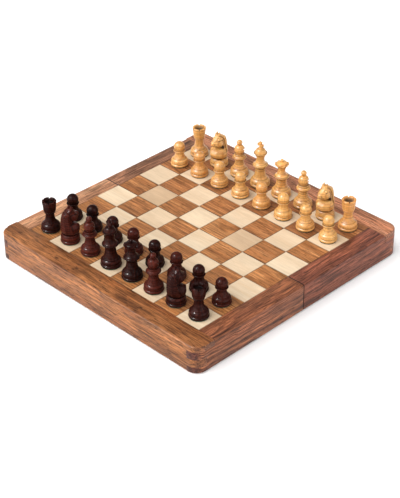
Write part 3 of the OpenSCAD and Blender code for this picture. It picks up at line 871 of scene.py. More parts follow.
@dataclass
class PlayingPanel:
    """One half of the playing surface: squares of veneer on sheet steel on plywood.

    By chance a dark square gets up to the first of the tones, and a light one up to the second.
    """

    half: Half
    board: Board
    veneer: float = 1.2
    glue_line: float = 0.1
    ease: float = 0.14
    tan_tiles: tuple[Point2, ...] = ((1, 4), (5, 4))
    tan_tone: float = 0.75
    tones: Point2 = (0.5, 0.22)
    # Painted shade that darkens the dark squares of the rear half more with each rank towards the far end.
    rear_painted_shade: float = 0.3
    seed: int = 11

    @staticmethod
    def tile_tree() -> NodeGroup:
        """The tree that lays an eased tile on each point."""
        group = NodeGroup("veneer_tiles", ("Side", "Depth", "Ease"))
        side, ease = group.given["Side"], group.given["Ease"]
        core = group.calc("SUBTRACT", group.given["Depth"], ease)
        block = group.put("GeometryNodeMeshCube", {"Size": group.xyz(side, side, core)}).outputs[0]
        drop = group.calc("SUBTRACT", group.calc("MULTIPLY", core, -0.5), ease)
        inputs = {"Geometry": block, "Translation": group.xyz(0.0, 0.0, drop)}
        lowered = group.put("GeometryNodeTransform", inputs).outputs[0]
        up = group.split(group.put("GeometryNodeInputNormal", {}).outputs[0])[2]
        is_top = group.put("FunctionNodeCompare", {0: up, 1: 0.9}, operation="GREATER_THAN").outputs[0]
        inputs = {"Mesh": lowered, "Selection": is_top, "Offset Scale": ease, "Individual": False}
        raised = group.put("GeometryNodeExtrudeMesh", inputs)
        inset = group.calc("SUBTRACT", side, group.calc("MULTIPLY", ease, 2.0))
        inputs = {"Geometry": raised.outputs["Mesh"], "Selection": raised.outputs["Top"]}
        inputs["Scale"] = group.calc("DIVIDE", inset, side)
        eased = group.put("GeometryNodeScaleElements", inputs)
        place = group.put("GeometryNodeInputPosition", {}).outputs[0]
        inputs = {"Geometry": eased.outputs[0], "Name": "tile", "Value": place}
        own = group.put("GeometryNodeStoreNamedAttribute", inputs, data_type="FLOAT_VECTOR", domain="POINT")
        return group.finish(own.outputs[0])

    def squares(self, light: bool, group: NodeGroup, finish: bpy.types.Material) -> None:
        """Lays the squares of one colour.

        Args:
            light: Whether they are the light ones.
            group: The tree that makes them.
            finish: Their material.
        """
        is_rear = self.half is Half.REAR
        rng = np.random.default_rng(self.seed + light + 2 * is_rear)
        ranks = self.board.ranks // 2
        places, shifts, tones = [], [], []
        for file in range(self.board.ranks):
            for rank in range(is_rear * ranks, (is_rear + 1) * ranks):
                if (file + rank) % 2 != light:
                    continue
                places.append(self.board.middle(file, rank) * MM)
                shifts.append(rng.uniform((-900, -60, -40), (900, 60, 40)))
                if light and (file, rank) in self.tan_tiles:
                    tones.append(self.tan_tone)
                else:
                    # Painted shade added to a dark square's tone, growing towards the far end.
                    painted_rear_shade = 0.0 if light else self.rear_painted_shade * max(0, rank - ranks)
                    tones.append(min(rng.uniform(0.0, self.tones[light]) + painted_rear_shade, 1.0))
        kind = "light" if light else "dark"
        node = f"{self.half.prefix}_{kind}_squares"
        sizes = {"Side": self.board.square - self.glue_line, "Depth": self.veneer, "Ease": self.ease}
        obj = group.run(f"{node}_veneer", places, finish, sizes, shift=shifts, tone=tones)
        self.trim_at_seam(obj.data)
        dress(obj, finish, self.half.body, [node])

    def trim_at_seam(self, mesh: bpy.types.Mesh) -> None:
        """Draws the tiles beside the seam back to the edge of this half."""
        points = coordinates(mesh)
        limit = self.board.seam_y * MM
        over = np.abs(points[:, 1]) < limit
        points[over, 1] = self.half.value * limit
        near = np.abs(points[:, 1]) < limit + 2 * self.ease * MM
        eased = near & ~over & (points[:, 2] > (self.board.top_z - self.ease / 2) * MM)
        points[eased, 1] = self.half.value * (limit + self.ease * MM)
        mesh.vertices.foreach_set("co", points.ravel())
        mesh.update()

    def layer(self, name: str, finish: bpy.types.Material) -> None:
        """Gives a hidden layer of the panel its material."""
        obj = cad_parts[f"{self.half.prefix}_{name}"]
        for index in range(len(obj.material_slots)):
            obj.material_slots[index].link = "OBJECT"
            obj.material_slots[index].material = finish
        log.info("%s keeps its CAD mesh", obj.name)

    def build(self, group: NodeGroup, finishes: Finishes) -> None:
        """Lays the squares and dresses the layers under them."""
        self.squares(True, group, finishes["light_square_wood"])
        self.squares(False, group, finishes["dark_square_wood"])
        self.layer("panel", finishes["plywood"])
        self.layer("steel_sheet", finishes["sheet_steel"])


@dataclass
class StorageTray:
    """The flocked tray of one half, with eight troughs for the men."""

    half: Half
    lip: float = 1.1

    def build(self, finishes: Finishes) -> None:
        """Makes the tray from its CAD node, with soft lips and floors."""
        node = f"{self.half.prefix}_tray"
        obj = eased_copy(node, f"{node}_flock", self.lip, 3, 35.0)
        dress(obj, finishes["flocked_tray"], self.half.body, [node])


@dataclass
class Hinges:
    """Two butt hinges: leaves, barrel, pins and countersunk screws."""

    board: Board
    hinge_x: float = 100.0
    hinge_len: float = 24.0
    leaf_w: float = 8.0
    leaf_t: float = 0.9
    leaf_ease: float = 0.1
    pin_ease: float = 0.15
    screw_r: float = 0.8
    screw_head_r: float = 1.7
    screw_len: float = 7.0
    slot_w: float = 0.45
    slot_depth: float = 0.4

    @staticmethod
    def screw_tree(sizes: Sequence[str]) -> NodeGroup:
        """The tree that drives a slotted screw in at each point, turned by chance."""
        group = NodeGroup("slotted_screws", sizes)
        head_r, shank_r, depth, length, slot_w, slot_depth = (group.given[size] for size in sizes)
        head = group.put(
            "GeometryNodeMeshCone",
            {"Vertices": 32, "Radius Top": shank_r, "Radius Bottom": head_r, "Depth": depth},
        )
        reach, deep = group.calc("MULTIPLY", head_r, 3.0), group.calc("MULTIPLY", slot_depth, 2.0)
        cut = group.put("GeometryNodeMeshCube", {"Size": group.xyz(reach, slot_w, deep)})
        slotted = group.put(
            "GeometryNodeMeshBoolean", {0: head.outputs[0], 1: cut.outputs[0]}, operation="DIFFERENCE"
        )
        inputs = {"Vertices": 24, "Radius": shank_r, "Depth": group.calc("SUBTRACT", length, depth)}
        shank = group.put("GeometryNodeMeshCylinder", inputs).outputs[0]
        middle = group.calc("MULTIPLY", group.calc("ADD", length, depth), 0.5)
        inputs = {"Geometry": shank, "Translation": group.xyz(0.0, 0.0, middle)}
        placed = group.put("GeometryNodeTransform", inputs)
        whole = group.put("GeometryNodeJoinGeometry", {})
        for part in (slotted, placed):
            group.feed(whole.inputs[0], part.outputs[0])
        turn = group.put("FunctionNodeRandomValue", {2: 0.0, 3: math.pi, "Seed": 5}, data_type="FLOAT")
        return group.finish(whole.outputs[0], group.xyz(0.0, 0.0, turn.outputs[1]))

    def screw_places(self, half: Half) -> list[Vector]:
        """Where the screws of one half's leaves start, in metres."""
        places = []
        for side in (-1, 1):
            for step in (-1, 0, 1):
                x = side * self.hinge_x + step * (self.hinge_len / 2 - 2 * self.screw_head_r)
                back = self.board.seam_y + self.leaf_w * (0.7 if step == 0 else 0.5)
                places.append(Vector((x, half.value * back, self.board.rim_z)) * MM)
        return places

    def build(self, finishes: Finishes) -> None:
        """Makes the leaves, the pins and the screws."""
        brass = finishes["hinge_brass"]
        sizes = {
            "Head Radius": self.screw_head_r, "Shank Radius": self.screw_r, "Head Depth": self.leaf_t,
            "Length": self.screw_len, "Slot Width": self.slot_w, "Slot Depth": self.slot_depth,
        }
        group = self.screw_tree(list(sizes))
        for half in Half:
            leaves, screws = f"{half.prefix}_hinge_leaves", f"{half.prefix}_hinge_screws"
            obj = eased_copy(leaves, f"{leaves}_brass", self.leaf_ease)
            dress(obj, brass, half.body, [leaves])
            obj = group.run(f"{screws}_slotted", self.screw_places(half), brass, sizes)
            smooth(obj.data, 30.0)
            dress(obj, brass, half.body, [screws])
        pins = eased_copy("hinge_pins", "hinge_pins_brass", self.pin_ease)
        dress(pins, brass, Half.FRONT.body, ["hinge_pins"])


@dataclass
class RimMagnets:
    """The two magnets in one half's rim that hold the box shut."""

    half: Half
    ease: float = 0.25

    def build(self, finishes: Finishes) -> None:
        """Makes the magnets from their CAD node, with rounded rims."""
        node = f"{self.half.prefix}_rim_magnets"
        obj = eased_copy(node, f"{node}_plated", self.ease, 3, 35.0)
        dress(obj, finishes["magnet_nickel"], self.half.body, [node])


# ---- Men ----


class Outline:
    """The outline of a turned man: (radius, height, hollow) points from the foot up, in millimetres. Hollow
    is how far the wood is darkened there: burn lines in the cut rings, painted shade in creases and
    recesses.
    """

    def __init__(self) -> None:
        """Starts an empty outline."""
        self.points: list[tuple[float, float, float]] = []

    def to(self, r: float, z: float, hollow: float = 0.0) -> "Outline":
        """Goes straight to a point."""
        self.points.append((max(r, 0.0), z, hollow))
        return self

    def oval(self, centre: Point2, radii: Point2, start: float, end: float, steps: int = 14) -> "Outline":
        """Sweeps round a centre between two angles in degrees."""
        for k in range(steps + 1):
            a = math.radians(start + (end - start) * k / steps)
            self.to(centre[0] + radii[0] * math.cos(a), centre[1] + radii[1] * math.sin(a))
        return self

    def bend(self, start: Point2, towards: Point2, end: Point2, steps: int = 14) -> "Outline":
        """Curves from start to end, drawn towards a third point."""
        for k in range(steps + 1):
            t = k / steps
            a, b, c = (1 - t) ** 2, 2 * t * (1 - t), t * t
            self.to(*(a * start[i] + b * towards[i] + c * end[i] for i in (0, 1)))
        return self

    def incise(self, z: float, depth: float = 0.4, width: float = 1.3) -> "Outline":
        """Cuts a fine dark ring into the outside at a height."""
        for level, share in ((z - width / 2, 0.0), (z + width / 2, 0.0), (z, 1.0)):
            for k in range(len(self.points) - 2, 0, -1):
                (r0, z0, _), (r1, z1, _) = self.points[k : k + 2]
                if z0 < level <= z1:
                    r = r0 + (r1 - r0) * (level - z0) / (z1 - z0)
                    self.points.insert(k + 1, (r - share * depth, level, share))
                    break
        return self

    def bead(self, r: float, z: float, size: float, steps: int = 10) -> "Outline":
        """A half-round ring with painted shade in the creases under and over it."""
        for k in range(steps + 1):
            a = math.radians(-90 + 180 * k / steps)
            # The creases under and over the ring are darkened with painted shade.
            edge = abs(math.sin(a)) ** 5
            self.to(r - size + size * math.cos(a), z + size * math.sin(a), 0.85 * edge)
        return self


@dataclass
class Foot:
    """The foot that every man has: felt, rim, groove and bell, as in the part's source."""

    felt_t: float = 0.8
    plinth_h: float = 3.0
    groove: float = 1.3
    groove_h: float = 0.6
    bell: Point2 = (3.4, 4.0)
    bell_back: float = 0.4
    bell_low: float = -18.0
    bell_high: float = 55.0
    magnet_r: float = 4.5
    magnet_t: float = 2.4
    magnet_fit: float = 0.05
    glue_t: float = 0.05
    felt_inset: float = 0.8
    felt_sides: int = 48
    magnet_ease: float = 0.25
    magnet_sides: int = 40

    @property
    def plinth_top(self) -> float:
        """Height of the rim's top."""
        return self.felt_t + self.plinth_h

    @property
    def bell_start(self) -> float:
        """Height at which the bell starts."""
        return self.plinth_top + self.groove_h

    @property
    def bell_slope(self) -> float:
        """How steeply the bell ends."""
        return self.bell[1] / (self.bell[0] * math.tan(math.radians(self.bell_high)))

    def bell_mid(self, tall: float = 1.0) -> float:
        """Height of the widest place of a bell that is that many times as tall."""
        return self.bell_start - tall * self.bell[1] * math.sin(math.radians(self.bell_low))

    def bell_end(self, r: float, tall: float = 1.0) -> Point2:
        """Where the bell ends on a foot of that radius."""
        back = self.bell_back + self.bell[0] * (1 - math.cos(math.radians(self.bell_high)))
        return r - back, self.bell_mid(tall) + tall * self.bell[1] * math.sin(math.radians(self.bell_high))

    def draw(self, r: float, tall: float = 1.0) -> Outline:
        """Draws the foot of a man, from the bore for its magnet to the top of the bell."""
        line = Outline()
        bore = self.magnet_r + self.magnet_fit
        roof = self.felt_t + self.magnet_t + self.glue_t
        line.to(0, roof).to(bore, roof).to(bore, self.felt_t)
        half, inner = self.plinth_h / 2, r - self.groove
        line.oval((r - half, self.felt_t + half), (half, half), -90, 62, 12)
        # The groove between the rim and the bell is darkened with painted shade.
        line.to(inner + 0.35, self.plinth_top, 0.2).to(inner, self.plinth_top - 0.05, 1.0)
        line.to(inner - 0.05, self.plinth_top + self.groove_h / 2, 1.0).to(inner, self.bell_start, 1.0)
        centre = (r - self.bell_back - self.bell[0], self.bell_mid(tall))
        radii = (self.bell[0], tall * self.bell[1])
        return line.oval(centre, radii, self.bell_low, self.bell_high, 20)

    def felt(self, r: float) -> bpy.types.Mesh:
        """The felt disc under a man, with a soft, slightly uneven rim."""
        line = Outline().to(0, 0)
        rim = self.felt_t - self.glue_t
        line.to(r - self.felt_inset - 0.12, 0)
        line.oval((r - self.felt_inset - rim / 2, rim / 2), (rim / 2, rim / 2), -80, 80, 6)
        line.to(r - self.felt_inset - 0.2, rim).to(0, rim)
        return spin(line, "felt", round_columns(self.felt_sides))

    def magnet(self) -> bpy.types.Mesh:
        """The magnet in a man's foot."""
        low, high, r, ease = self.felt_t, self.felt_t + self.magnet_t, self.magnet_r, self.magnet_ease
        line = Outline().to(0, low).to(r - ease, low).to(r, low + ease).to(r, high - ease)
        line.to(r - ease, high).to(0, high)
        return spin(line, "magnet", round_columns(self.magnet_sides))


def join(mesh: bpy.types.Mesh, other: bpy.types.Mesh, crease: float = 38.0) -> None:
    """Adds another mesh to a mesh, cuts faces of over four corners into triangles and shades it smooth."""
    shell = bmesh.new()
    shell.from_mesh(mesh)
    shell.from_mesh(other)
    bmesh.ops.triangulate(shell, faces=[f for f in shell.faces if len(f.verts) > 4])
    shell.to_mesh(mesh)
    shell.free()
    smooth(mesh, crease)


def round_columns(count: int) -> list[float]:
    """Evenly spaced angles in degrees."""
    return [360.0 * k / count for k in range(count)]


def spin(
    line: Outline, name: str, columns: Sequence[float],
    lower: Optional[Callable[[float, float, float], float]] = None,
) -> bpy.types.Mesh:
    """Turns an outline into a closed mesh.

    Args:
        line: The outline, which starts and ends on the axis.
        name: The mesh's name.
        columns: The angles of its columns, in degrees.
        lower: Gives the height of a point from its angle, radius and height, for notches.

    Returns:
        The mesh in metres, with how far each point is darkened stored as its hollow: burn lines, and painted
        shade in creases and recesses.
    """
    points, faces, burn_and_shade_shares, rings = [], [], [], []
    for r, z, hollow in line.points:
        if r < 1e-6:
            rings.append([len(points)])
            points.append((0.0, 0.0, z * MM))
            burn_and_shade_shares.append(hollow)
            continue
        ring = []
        for angle in columns:
            a = math.radians(angle)
            height = lower(angle, r, z) if lower else z
            ring.append(len(points))
            points.append((r * math.cos(a) * MM, r * math.sin(a) * MM, height * MM))
            burn_and_shade_shares.append(hollow)
        rings.append(ring)
    count = len(columns)
    for below, above in zip(rings, rings[1:]):
        for k in range(count):
            n = (k + 1) % count
            if len(below) == 1 and len(above) == 1:
                continue
            if len(below) == 1:
                faces.append((below[0], above[n], above[k]))
            elif len(above) == 1:
                faces.append((below[k], below[n], above[0]))
            else:
                faces.append((below[k], below[n], above[n], above[k]))
    mesh = bpy.data.meshes.new(name)
    mesh.from_pydata(points, [], faces)
    note(mesh, "hollow", np.array(burn_and_shade_shares))
    shell = bmesh.new()
    shell.from_mesh(mesh)
    bmesh.ops.remove_doubles(shell, verts=shell.verts, dist=1e-7)
    bmesh.ops.recalc_face_normals(shell, faces=shell.faces)
    shell.to_mesh(mesh)
    shell.free()
    smooth(mesh)
    return mesh


@dataclass
class Man:
    """A turned man. Its fields are its sizes in millimetres."""

    height: float
    base_r: float
    neck_r: float
    foot: Foot = field(default_factory=Foot)
    collar_h: float = 1.9
    columns: int = 64
    rings: tuple[float, ...] = ()

    def stem(self, neck_z: float) -> Outline:
        """Draws the foot and the hollow sweep up to an upright neck."""
        line = self.foot.draw(self.base_r)
        start = self.foot.bell_end(self.base_r)
        leans = (self.neck_r, start[1] + (start[0] - self.neck_r) * self.foot.bell_slope)
        line.bend(start, leans, (self.neck_r, neck_z), 20).incise(start[1] + 0.7)
        for below in self.rings:
            line.incise(neck_z - below)
        return line

    def collar(self, line: Outline, r: float, z: float, neck: Point2) -> Outline:
        """Draws the small ring, the wide collar and the hollow over it."""
        line.bead(r * 0.8, z - self.collar_h * 0.95, self.collar_h * 0.38)
        line.bead(r, z, self.collar_h / 2)
        leans = (neck[0] + 0.8, z + self.collar_h * 1.2)
        return line.bend((r * 0.9, z + self.collar_h / 2), leans, neck, 14)

    def outline(self) -> Outline:
        """Draws the whole man."""
        raise NotImplementedError

    def angles(self) -> list[float]:
        """Where the columns of points stand, in degrees."""
        return round_columns(self.columns)

    def lowered(self, angle: float, r: float, z: float) -> float:
        """The height of a point, after any notches."""
        return z

    def shape(self) -> bpy.types.Mesh:
        """The man's wood as a mesh, standing on the origin."""
        return spin(self.outline(), type(self).__name__.lower(), self.angles(), self.lowered)


@dataclass
class Pawn(Man):
    """A pawn: ball head on a collar."""

    height: float = 30.0
    base_r: float = 10.2
    neck_r: float = 4.8
    head_r: float = 6.3

    def outline(self) -> Outline:
        """Draws the whole man."""
        head_z = self.height - self.head_r
        collar_z, size = head_z - self.head_r * 0.72, self.collar_h * 0.4
        line = self.stem(collar_z - size)
        line.bead(self.head_r * 1.08, collar_z, size)
        return line.oval((0, head_z), (self.head_r, self.head_r), -36, 90, 24)


@dataclass
class Rook(Man):
    """A rook: flared tower with six notches round a hollow."""

    height: float = 36.0
    base_r: float = 10.6
    neck_r: float = 4.8
    tower_r: float = 7.7
    ring_down: float = 13.4
    wall: float = 2.0
    hollow_depth: float = 4.0
    notch_w: float = 1.6
    notch_depth: float = 1.6
    notches: int = 6
    first_notch: float = 15.0

    def outline(self) -> Outline:
        """Draws the whole man."""
        ring_z, size, cup_r = self.height - self.ring_down, self.collar_h * 0.37, self.tower_r - 1
        line = self.stem(ring_z - 3.4)
        line.to(self.neck_r + 0.1, ring_z - size)
        line.bead(self.neck_r + 1.2, ring_z, size)
        line.bend((self.neck_r + 0.5, ring_z + size), (cup_r, ring_z + 0.9), (cup_r + 0.1, ring_z + 3), 14)
        inner, floor = self.tower_r - self.wall, self.height - self.hollow_depth
        line.to(self.tower_r, self.height - 0.8).to(self.tower_r, self.height - 0.25)
        line.to(self.tower_r - 0.25, self.height).to(inner + 0.2, self.height).to(inner, self.height - 0.2)
        # The inside of the cup, low down, is darkened with painted shade.
        line.to(self.neck_r, floor + 0.5, 0.8).to(self.neck_r - 0.7, floor, 1.0).to(0, floor, 0.8)
        return line

    @property
    def notch_half(self) -> float:
        """Half a notch, in degrees."""
        return math.degrees(self.notch_w / 2 / self.tower_r)

    @property
    def middles(self) -> list[float]:
        """Where the notches are, in degrees."""
        return [self.first_notch + 360 * k / self.notches for k in range(self.notches)]

    def angles(self) -> list[float]:
        """Where the columns of points stand, in degrees: closer at the notches' sides."""
        half, columns = self.notch_half, set(round_columns(self.columns))
        for middle in self.middles:
            columns = {c for c in columns if abs(c - middle) > half + 1.5}
            columns |= {middle + side * (half + slip) for side in (-1, 1) for slip in (0.0, 1.2)}
            columns |= {middle}
        return sorted(columns)

    def lowered(self, angle: float, r: float, z: float) -> float:
        """The height of a point, after the notches."""
        inside = any(abs(angle - middle) <= self.notch_half + 0.01 for middle in self.middles)
        return min(z, self.height - self.notch_depth) if inside and r > self.neck_r + 0.01 else z


@dataclass
class Bishop(Man):
    """A bishop: mitre with a slanting slit, and a ball on top."""

    height: float = 44.5
    base_r: float = 10.6
    neck_r: float = 4.9
    ball_r: float = 3.2
    collar_r: float = 7.9
    collar_down: float = 21.2
    ring_down: float = 17.8
    mitre_down: float = 12.4
    rings: tuple[float, ...] = (0.9, 2.9)
    mitre: tuple[float, float, float] = (5.8, 5.0, 5.2)
    ball_low: float = -62.0
    slit_w: float = 1.1
    slit_lean: float = 38.0
    slit_in: float = 0.8
    slit_up: float = 3.0

    def outline(self) -> Outline:
        """Draws the whole man."""
        downs = (self.collar_down, self.ring_down, self.mitre_down)
        collar_z, ring_z, mitre_z = (self.height - down for down in downs)
        (wide, under, over), size = self.mitre, self.collar_h * 0.4
        low, ball_z = math.radians(self.ball_low), self.height - self.ball_r
        seat = (self.ball_r * math.cos(low), ball_z + self.ball_r * math.sin(low) - 0.1)
        line = self.stem(collar_z - 3)
        self.collar(line, self.collar_r, collar_z, (self.neck_r - 0.3, ring_z - size))
        line.bead(self.neck_r + 1.1, ring_z, size)
        line.oval((0.4, mitre_z), (wide - 0.4, under), -52, 0, 14)
        line.bend((wide, mitre_z), (wide, mitre_z + over), seat, 20)
        return line.oval((0, ball_z), (self.ball_r, self.ball_r), self.ball_low, 90, 18)

    def shape(self) -> bpy.types.Mesh:
        """The man's wood as a mesh, standing on the origin."""
        obj = show("bishop", super().shape())
        shell = bmesh.new()
        bmesh.ops.create_cube(shell, size=1.0)
        wide = self.mitre[0]
        size = Matrix.Diagonal((2 * wide, 2 * wide + 2, self.slit_w, 1.0))
        shift = Matrix.Translation((self.slit_in + wide, 0, 0))
        lean = Matrix.Rotation(math.radians(self.slit_lean), 4, "Y")
        lean = Matrix.Rotation(math.radians(90), 4, "Z") @ lean
        raise_up = Matrix.Translation((0, 0, self.height - self.mitre_down + self.slit_up))
        whole = Matrix.Scale(MM, 4) @ raise_up @ lean @ shift @ size
        bmesh.ops.transform(shell, matrix=whole, verts=shell.verts)
        cutter = show("slit", as_mesh(shell, "slit"))
        modify(obj, "BOOLEAN", operation="DIFFERENCE", object=cutter, solver="EXACT")
        settle(obj)
        mesh = obj.data
        smooth(mesh)
        bpy.data.objects.remove(obj)
        discard(cutter)
        return mesh


@dataclass
class Royal(Man):
    """What the queen and the king have in common: collar, waist and brim."""

    collar_r: float = 8.5
    collar_down: float = 21.0
    waist_r: float = 3.9
    waist_down: float = 14.0
    brim_r: float = 7.9
    brim_down: float = 6.2
    brim_lean: Point2 = (0.4, 2.4)
    rings: tuple[float, ...] = (0.9, 2.9)

    @property
    def brim_z(self) -> float:
        """Height of the brim."""
        return self.height - self.brim_down

    def trunk(self) -> Outline:
        """Draws the man up to the brim."""
        collar_z, waist_z = self.height - self.collar_down, self.height - self.waist_down
        line = self.stem(collar_z - 3.2)
        self.collar(line, self.collar_r, collar_z, (self.waist_r, waist_z))
        leans = (self.waist_r + self.brim_lean[0], self.brim_z - self.brim_lean[1])
        return line.bend((self.waist_r, waist_z), leans, (self.brim_r, self.brim_z), 18)


@dataclass
class Queen(Royal):
    """A queen: coronet with eight scallops, a dome and a small ball."""

    height: float = 46.0
    base_r: float = 11.2
    neck_r: float = 5.5
    ball_r: float = 1.9
    notch_depth: float = 1.15
    notches: int = 8
    columns: int = 128

    def outline(self) -> Outline:
        """Draws the whole man."""
        line, brim_z, dome_r = self.trunk(), self.brim_z, self.brim_r - 1.5
        line.to(self.brim_r + 0.03, brim_z + 0.35).to(self.brim_r - 0.15, brim_z + 0.7)
        # The crease where the dome meets the brim is darkened with painted shade.
        line.to(dome_r + 0.2, brim_z + 0.7).to(dome_r, brim_z + 0.45, 0.8)
        knob = self.height - 1.8 * self.ball_r
        leans = (dome_r - 1, self.height - 2.4 * self.ball_r)
        line.bend((dome_r - 0.2, brim_z + 0.7), leans, (1.3, knob), 12)
        return line.oval((0, self.height - self.ball_r), (self.ball_r, self.ball_r), -45, 90, 14)

    def lowered(self, angle: float, r: float, z: float) -> float:
        """The height of a point, after the scallops of the brim."""
        if r < self.brim_r - 1.7 or z < self.brim_z - 2.6:
            return z
        pitch = 360 / self.notches
        off = abs((angle + pitch / 2) % pitch - pitch / 2) / (pitch * 0.36)
        share = max(0.0, 1 - off * off) ** 0.5
        return min(z, self.brim_z + 0.7 - self.notch_depth * share)


@dataclass
class King(Royal):
    """A king: cupped crown, dome and a cross."""

    height: float = 54.5
    base_r: float = 11.2
    neck_r: float = 5.6
    collar_r: float = 8.7
    collar_down: float = 28.2
    waist_r: float = 4.3
    waist_down: float = 21.0
    brim_r: float = 7.4
    brim_h: float = 1.2
    brim_down: float = 13.8
    brim_lean: Point2 = (0.5, 2.6)
    cross_w: float = 7.4
    cross_t: float = 2.6
    cross_ease: float = 0.28
    arm_waist: float = 0.12
    arm_flare: float = 0.25

    def outline(self) -> Outline:
        """Draws the whole man."""
        line, brim_z = self.trunk(), self.brim_z
        brim_h, knob_z = self.brim_h, self.height - self.cross_w + 0.5
        line.bead(self.brim_r + 0.1, brim_z + brim_h / 2, brim_h / 2)
        leans = (self.brim_r - 2, knob_z - 1.2)
        line.bend((self.brim_r - 1.1, brim_z + brim_h), leans, (2, knob_z - 0.7), 12)
        return line.to(2, knob_z - 0.2).to(1.8, knob_z).to(0, knob_z)

    def cross(self) -> bmesh.types.BMesh:
        """The cross, with flared arms and eased edges."""
        arm, waist, flare = (self.cross_w * share for share in (0.5, self.arm_waist, self.arm_flare))
        quarter = [(flare, arm), (waist, waist), (arm, flare), (arm, -flare), (waist, -waist), (flare, -arm)]
        ring = quarter + [(-x, z) for x, z in reversed(quarter)]
        shell = bmesh.new()
        points = [shell.verts.new((x, -self.cross_t / 2, z)) for x, z in ring]
        face = shell.faces.new(points)
        grown = bmesh.ops.extrude_face_region(shell, geom=[face])
        moved = [g for g in grown["geom"] if isinstance(g, bmesh.types.BMVert)]
        bmesh.ops.translate(shell, verts=moved, vec=(0, self.cross_t, 0))
        bmesh.ops.recalc_face_normals(shell, faces=shell.faces)
        bmesh.ops.bevel(
            shell, geom=shell.edges[:], offset=self.cross_ease, segments=2, affect="EDGES", profile=0.6
        )
        middle = Matrix.Translation((0, 0, self.height - arm))
        bmesh.ops.transform(shell, matrix=Matrix.Scale(MM, 4) @ middle, verts=shell.verts)
        return shell

    def shape(self) -> bpy.types.Mesh:
        """The man's wood as a mesh, standing on the origin."""
        mesh = super().shape()
        cross = as_mesh(self.cross(), "cross")
        join(mesh, cross)
        bpy.data.meshes.remove(cross)
        return mesh


def softened(points: Sequence[Point2]) -> list[Point2]:
    """Cuts the corners off a closed outline, twice over."""
    ring = np.array(points, float)
    for _ in range(2):
        after = np.roll(ring, -1, axis=0)
        ring = np.stack([0.75 * ring + 0.25 * after, 0.25 * ring + 0.75 * after], 1).reshape(-1, 2)
    return [tuple(p) for p in ring]


def prism(
    name: str, ring: Sequence[Point2], axes: tuple[int, int, int], low: float, high: float
) -> bpy.types.Object:
    """A straight solid over a softened outline.

    Args:
        name: The object's name.
        ring: The outline.
        axes: The axes of the outline's two numbers, and the axis it is drawn out along.
        low: Where it starts on that axis, in millimetres.
        high: Where it ends.

    Returns:
        The object.
    """
    shell = bmesh.new()
    ring, ends = softened(ring), []
    for level in (low, high):
        points = []
        for pair in ring:
            place = [0.0, 0.0, 0.0]
            place[axes[0]], place[axes[1]], place[axes[2]] = pair[0], pair[1], level
            points.append(shell.verts.new(Vector(place) * MM))
        ends.append(points)
        shell.faces.new(points)
    for k in range(len(ring)):
        n = (k + 1) % len(ring)
        shell.faces.new((ends[0][k], ends[0][n], ends[1][n], ends[1][k]))
    bmesh.ops.recalc_face_normals(shell, faces=shell.faces)
    return show(name, as_mesh(shell, name))


def bell_curve(distance: np.ndarray, width: float) -> np.ndarray:
    """A smooth hump that is 1 at no distance."""
    return np.exp(-((distance / width) ** 2))


def fade(values: np.ndarray, start: float, end: float) -> np.ndarray:
    """Goes in a straight line from 0 at the start to 1 at the end."""
    return np.clip((values - start) / (end - start), 0, 1)


